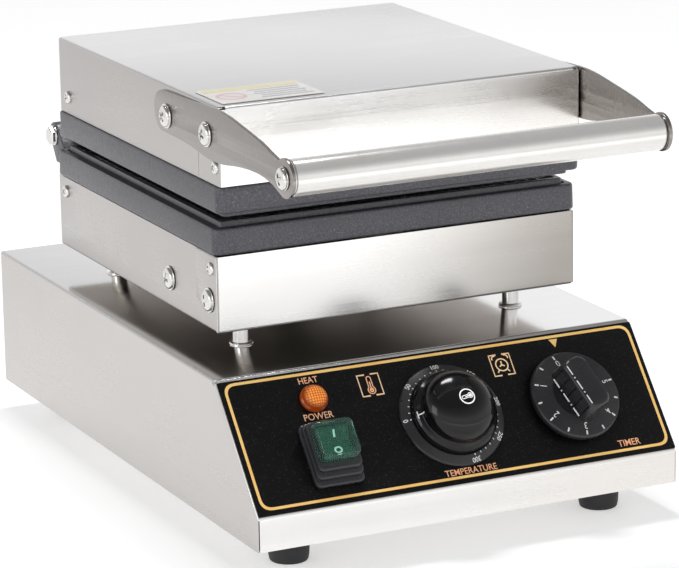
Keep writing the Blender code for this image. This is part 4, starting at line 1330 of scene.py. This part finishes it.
def cross_cutter(size, depth, top):
    """The two tapered arms of a cross recess."""
    cutters = []
    for turn in (0, 90):
        loops = []
        for share, height in ((0.42, top - depth), (1.0, top + 0.0004)):
            x, y = size * share, size * (0.16 + 0.08 * share)
            loops.append([Vector((i * x, j * y, height)) for i, j in ((-1, -1), (1, -1), (1, 1), (-1, 1))])
        cutters.append(lofted("recess", loops, "screw", spin(turn, "Z")))
    return cutters


def cross_screw(radius, height, shank, length, washer=0.0):
    """A domed screw with a cross recess, standing on Z = 0, with a thin washer if one is asked for."""
    seat = 0.0006 if washer else 0.0
    profile = [(0, height, 0)]
    profile += [
        (radius * 0.98 * math.sin(t), seat + height * 0.22 + (height * 0.78 - seat) * math.cos(t), 0)
        for t in (math.pi / 2 * i / 10 for i in range(1, 10))
    ]
    profile += [(radius, seat + height * 0.2, radius * 0.03), (radius * 0.985, seat, 0.0001)]
    if washer:
        profile += [(washer - 0.0002, seat, 0.0001), (washer, seat - 0.0002, 0.0001), (washer, 0.00005, 0)]
    else:
        profile += [(radius * 0.985, 0.00005, 0)]
    profile += [(shank, 0.00005, 0), (shank, -length, 0), (0, -length, 0)]
    screw = turned("cross_screw", fillet(profile), "screw", None, 56)
    combine(screw, cross_cutter(radius * 0.64, height * 0.72, height))
    mesh = screw.data
    bpy.data.objects.remove(screw)
    return mesh


def place_screw(name, mesh, body, side, place, turn, *nodes):
    obj = shown(name, mesh.copy(), "screw", facing_out(side, place) @ spin(turn, "Z"))
    fit(obj, body, "polished_steel", *nodes)


def make_screws():
    """The domed cross screws of the pan, brackets and handle, and the small ones in both side walls."""
    big = cross_screw(0.0062, 0.0031, 0.0024, 0.009, 0.0071)
    handle = cross_screw(0.0062, 0.0034, 0.0019, 0.0085, 0.0064)
    small = cross_screw(0.0038, 0.0021, 0.0016, 0.004)
    bracket_face = BRACKET_X + BRACKET_SHEET / 2 + GAP
    turns = {"front": 38, "rear": 12}
    for side_name, side in SIDES.items():
        for index, end in enumerate(("front", "rear")):
            name = f"pan_screw_{end}_{side_name}"
            spot = at(side * (PAN_HIGH.x + GAP + LAP * (1 - index)), *PAN_SCREWS[index])
            place_screw(f"head_{name}", big, "base", side, spot, turns[end] + 25 * side, name)
            name = f"bracket_screw_{end}_{side_name}"
            spot = at(side * bracket_face, *BRACKET_SCREWS[index])
            place_screw(f"head_{name}", big, "lid", side, spot, turns[end] - 30 * side, name)
        name = f"handle_screw_{side_name}"
        place_screw(f"head_{name}", handle, "lid", side, at(side * bracket_face, *HANDLE_AT), 22, name)
        for index, (depth, height) in enumerate(SMALL_PAN_SCREWS):
            spot = at(side * (PAN_HIGH.x + LAP * (1 - index)), depth, height)
            place_screw(f"small_pan_screw_{index}_{side_name}", small, "base", side, spot, 15 + 40 * index)
        for index, (depth, height) in enumerate(SMALL_CASING_SCREWS):
            spot = at(side * CASING_HIGH.x, depth, height)
            place_screw(f"small_casing_screw_{index}_{side_name}", small, "lid", side, spot, 55 + 30 * index)


def bracket_outline():
    return [
        *arc((0.152, 0.2125), 0.0118, -90, 90, 24),
        *smooth_route([Vector(p) for p in (
            (0.142, 0.2247), (0.115, 0.2254), (0.085, 0.2268), (0.067, 0.2264), (0.044, 0.2234),
            (0.021, 0.2198), (0.007, 0.2164),
        )], 4),
        *arc(HANDLE_AT, 0.0108, 52, 290, 36),
        *smooth_route([Vector(p) for p in (
            (0.006, 0.1996), (0.02, 0.2016), (0.036, 0.2016), (0.054, 0.2), (0.072, 0.1975),
            (0.092, 0.1972), (0.112, 0.1995), (0.13, 0.2005),
        )], 4),
    ]


def make_handle():
    """The drawn tube with rolled ends, between two flat brackets."""
    half = BRACKET_X - BRACKET_SHEET / 2 - GAP
    radius, bore = 0.01, 0.0023
    profile = fillet([
        (bore, half, 0), (radius - 0.0012, half, 0.0002), (radius - 0.0008, half - 0.001, 0.0002),
        (radius, half - 0.0013, 0.0005), (radius, -half + 0.0013, 0.0005),
        (radius - 0.0008, -half + 0.001, 0.0002), (radius - 0.0012, -half, 0.0002), (bore, -half, 0),
    ])
    place = move(at(0, *HANDLE_AT)) @ spin(90, "Y")
    tube = turned("handle_grip_tube", profile, "handle", place, 96, closed=True)
    fit(tube, "lid", "polished_steel", "handle_tube")
    holes = [circle(HANDLE_AT, HANDLE_SCREW_HOLE, 28)]
    holes += [circle(spot, SCREW_HOLE, 28) for spot in BRACKET_SCREWS]
    outline = bracket_outline()
    for side_name, side in SIDES.items():
        name = f"handle_bracket_{side_name}"
        place = on_side(side * BRACKET_X)
        bracket = flat_plate(f"plate_of_{name}", outline, BRACKET_SHEET, "bracket", place, holes, 0.0003)
        fit(bracket, "lid", "steel", name)


# ---------------------------------------------------------------- hinge, conduit and gland

def make_hinge():
    """Hexagon bolts with a flange and a chamfer, and the nuts inside the ears."""
    flange = LUG_SPANS["lower"][1] + GAP
    head = flange + 0.0006
    inner_end = 0.0795
    nut_end = LUG_SPANS["upper"][0] - GAP
    shaft = fillet([
        (0, head, 0), (0.006, head, 0.0002), (0.0061, flange, 0), (0.003, flange, 0),
        (0.003, inner_end + 0.0005, 0.0002), (0.0026, inner_end, 0), (0, inner_end, 0),
    ])
    for side_name, side in SIDES.items():
        place = facing_out(side, at(0, *HINGE_AT))
        bolt = turned("bolt", shaft, "screw", place, 48)
        join_meshes(bolt, [hex_block(0.0056, head, head + 0.0028, place)])
        fit(bolt, "base", "polished_steel", f"hinge_bolt_{side_name}")
        nut = hex_block(0.0058, nut_end - 0.005, nut_end, place, "plated")
        combine(nut, [cut_pin(HINGE_BORE, nut_end - 0.01, nut_end + 0.005, place)])
        fit(nut, "base", "plated_steel", f"hinge_nut_{side_name}")


def hex_block(radius, low, high, place, finish="screw"):
    """A hexagonal prism with chamfered corners at its outer end."""
    chamfer = ((1.0, low), (1.0, high - 0.0006), (0.955, high - 0.0002), (0.9, high))
    loops = [
        [Vector((*point, height)) for point in circle((0, 0), radius * reach, 6)] for reach, height in chamfer
    ]
    return lofted("hexagon", loops, finish, place, 20)


def make_riser():
    low, high = (corner.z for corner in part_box("wiring_riser"))
    outer, root, bore = 0.008, 0.0075, 0.0068
    profile = fillet([
        (outer, high, 0.0002), (outer, high - 0.006, 0.0002), (root, high - 0.0063, 0.0001),
        (root, low + 0.0083, 0.0001), (outer, low + 0.008, 0.0002), (outer, low, 0.0002),
        (bore, low, 0.0002), (bore, high, 0.0002),
    ], closed=True)
    riser = turned("threaded_riser", profile, "plated", upright_at("wiring_riser"), 56, closed=True)
    fit(riser, "base", "plated_steel", "wiring_riser")


def make_conduit_fitting(node_name, body, place):
    """A hexagon nut on the sheet and a grooved collar that grips the conduit."""
    collar = fillet([
        (0.0068, COLLAR_LENGTH, 0.0005), (0.0068, 0.013, 0.0001), (0.0063, 0.0127, 0.0001),
        (0.0063, 0.0118, 0.0001), (0.0068, 0.0115, 0.0001), (0.0068, 0.0095, 0.0001),
        (0.0063, 0.0092, 0.0001), (0.0063, 0.0083, 0.0001), (0.0068, 0.008, 0.0001), (0.0068, 0.0044, 0),
        (0.006, 0.004, 0), (0.006, -0.008, 0), (0.004, -0.008, 0), (0.004, COLLAR_LENGTH, 0.0004),
    ], closed=True)
    body_piece = turned(f"collar_{node_name}", collar, "plated", place, 56, closed=True)
    nut = hex_block(0.009, GAP, 0.0048, place)
    combine(nut, [cut_pin(0.0062, -0.01, 0.02, place)])
    fit(join_meshes(body_piece, [nut]), body, "plated_steel", node_name)


def ribbed_tube(name, route, radius, dip, pitch, finish):
    """A closed tube along a route in an upright plane, ribbed like wound metal strip."""
    sides = 24
    dips = (0.0, 0.0, 0.35, 1.0, 1.0, 0.35)
    lengths = [0.0]
    for start, end in zip(route, route[1:]):
        lengths.append(lengths[-1] + (end - start).length)
    total = round(lengths[-1] / pitch) * len(dips)
    builder = bmesh.new()
    rings = []
    span = 0
    across = Vector((1, 0, 0))
    for step in range(total + 1):
        reach = lengths[-1] * step / total
        while span < len(route) - 2 and lengths[span + 1] < reach:
            span += 1
        share = (reach - lengths[span]) / (lengths[span + 1] - lengths[span])
        centre = route[span].lerp(route[span + 1], share)
        before = (route[span + 1] - route[max(0, span - 1)]).normalized()
        after = (route[min(len(route) - 1, span + 2)] - route[span]).normalized()
        up = across.cross(before.lerp(after, share).normalized()).normalized()
        size = radius - dip * dips[step % len(dips)]
        rings.append([
            builder.verts.new(centre + size * (math.cos(angle) * across + math.sin(angle) * up))
            for angle in (math.tau * i / sides for i in range(sides))
        ])
    bridge(builder, *rings)
    builder.faces.new(rings[0])
    builder.faces.new(rings[-1])
    return new_object(name, builder, finish, sharp=50)


def make_conduit():
    foot_depth, head_height = 0.352, 0.205
    foot = Vector((CONDUIT_X, LIP_Y + foot_depth, BASE_HIGH.z))
    head = Vector((CONDUIT_X, CASING_HIGH.y, head_height + FLOOR_OF_BASE))
    make_conduit_fitting("conduit_fitting_base", "base", move(foot))
    make_conduit_fitting("conduit_fitting_lid", "lid", move(head) @ spin(-90, "X"))
    end = COLLAR_LENGTH + GAP
    knots = [foot + Vector((0, 0, end))]
    knots += [at(CONDUIT_X, *knot) for knot in (
        (0.3525, 0.115), (0.36, 0.145), (0.366, 0.172), (0.361, 0.194), (0.346, 0.2045),
    )]
    knots.append(head + Vector((0, end, 0)))
    tube = ribbed_tube("ribbed_conduit", smooth_route(knots, 12), 0.005, 0.0006, 0.0024, "conduit")
    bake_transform(tube)
    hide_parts("conduit")


def make_gland():
    """A hexagon flange and a ribbed dome nut, open right through."""
    height = 0.035
    place = move((middle("cable_gland").x, BASE_HIGH.y, height + FLOOR_OF_BASE)) @ spin(-90, "X")
    dome = fillet([
        (0.007, 0.014, 0.0006), (0.0086, 0.0118, 0.0016), (0.0092, 0.0086, 0.0008), (0.0092, 0.0046, 0),
        (0.008, 0.004, 0), (0.008, -0.011, 0.0003), (0.0045, -0.011, 0.0003), (0.0045, 0.014, 0.0006),
    ], closed=True)
    gland = turned("gland_dome", dome, "satin_black", place, 60, closed=True)
    flange = hex_block(0.011, 0.00005, 0.0048, place)
    combine(flange, [cut_pin(0.0079, -0.01, 0.02, place)])
    ribs = []
    for angle in range(0, 360, 30):
        spot = place @ spin(angle, "Z") @ move((0.0091, 0, 0))
        ribs.append(cut_block((-0.0006, -0.0007, 0.005), (0.0006, 0.0007, 0.0096), spot))
    join_meshes(gland, [flange, *ribs])
    fit(gland, "base", "black_plastic", "cable_gland")


def make_lid_label():
    """A pale sticker with plain blocks of colour and nothing to read on it."""
    low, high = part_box("lid_label")
    width, depth, thickness = high - low
    outline = rounded_outline((low.x, low.y), (high.x, high.y), 0.0008, 4)
    place = move((0, 0, (low.z + high.z) / 2))
    paper = flat_plate("lid_sticker", outline, thickness, "paper", place, edge=0.00003)
    fit(paper, "lid", "label_film", "lid_label")
    layer = move((low.x, low.y, high.z + PRINT_THICKNESS / 2))

    def block(x, y, half_x, half_y):
        centre, half = Vector((x, y)), Vector((half_x, half_y))
        return printed_block("block", rounded_outline(centre - half, centre + half, 0.0004, 3))

    band = [block(width * 0.5, depth * 0.87, width * 0.47, depth * 0.085)]
    centre, arm = Vector((width * 0.2, depth * 0.42)), Vector((0.0052, -0.0052))
    ring = [stroke(circle(centre, 0.0078, 40), 0.0021, True), stroke([centre - arm, centre + arm], 0.0019)]
    rows = [
        block(width * 0.68, depth * (0.16 + 0.13 * i), width * (0.25 - 0.03 * (i % 2)), depth * 0.035)
        for i in range(5)
    ]
    for name, marks, ink in (
        ("sticker_band", band, "label_yellow"), ("sticker_ring", ring, "label_pink"),
        ("sticker_rows", rows, "label_grey"),
    ):
        fit(printed(name, marks, ink, layer), "lid", "label_film")


finishes = make_finishes()

make_camera()
make_world()
make_stage()

bpy.context.scene.view_settings.view_transform = "Standard"
dress_frame()
make_base_housing()
make_feet()
make_standoffs()
make_film()
make_panel_print()
make_lamp()
make_switch()
make_rocker()
make_thermostat()
make_timer()
make_lower_pan()
make_upper_casing()
make_cast_plate("lower", "base", 0.1425, 0.1577, 1)
make_cast_plate("upper", "lid", 0.1825, 0.167, -1)
make_screws()
make_handle()
make_hinge()
make_riser()
make_conduit()
make_gland()
make_lid_label()
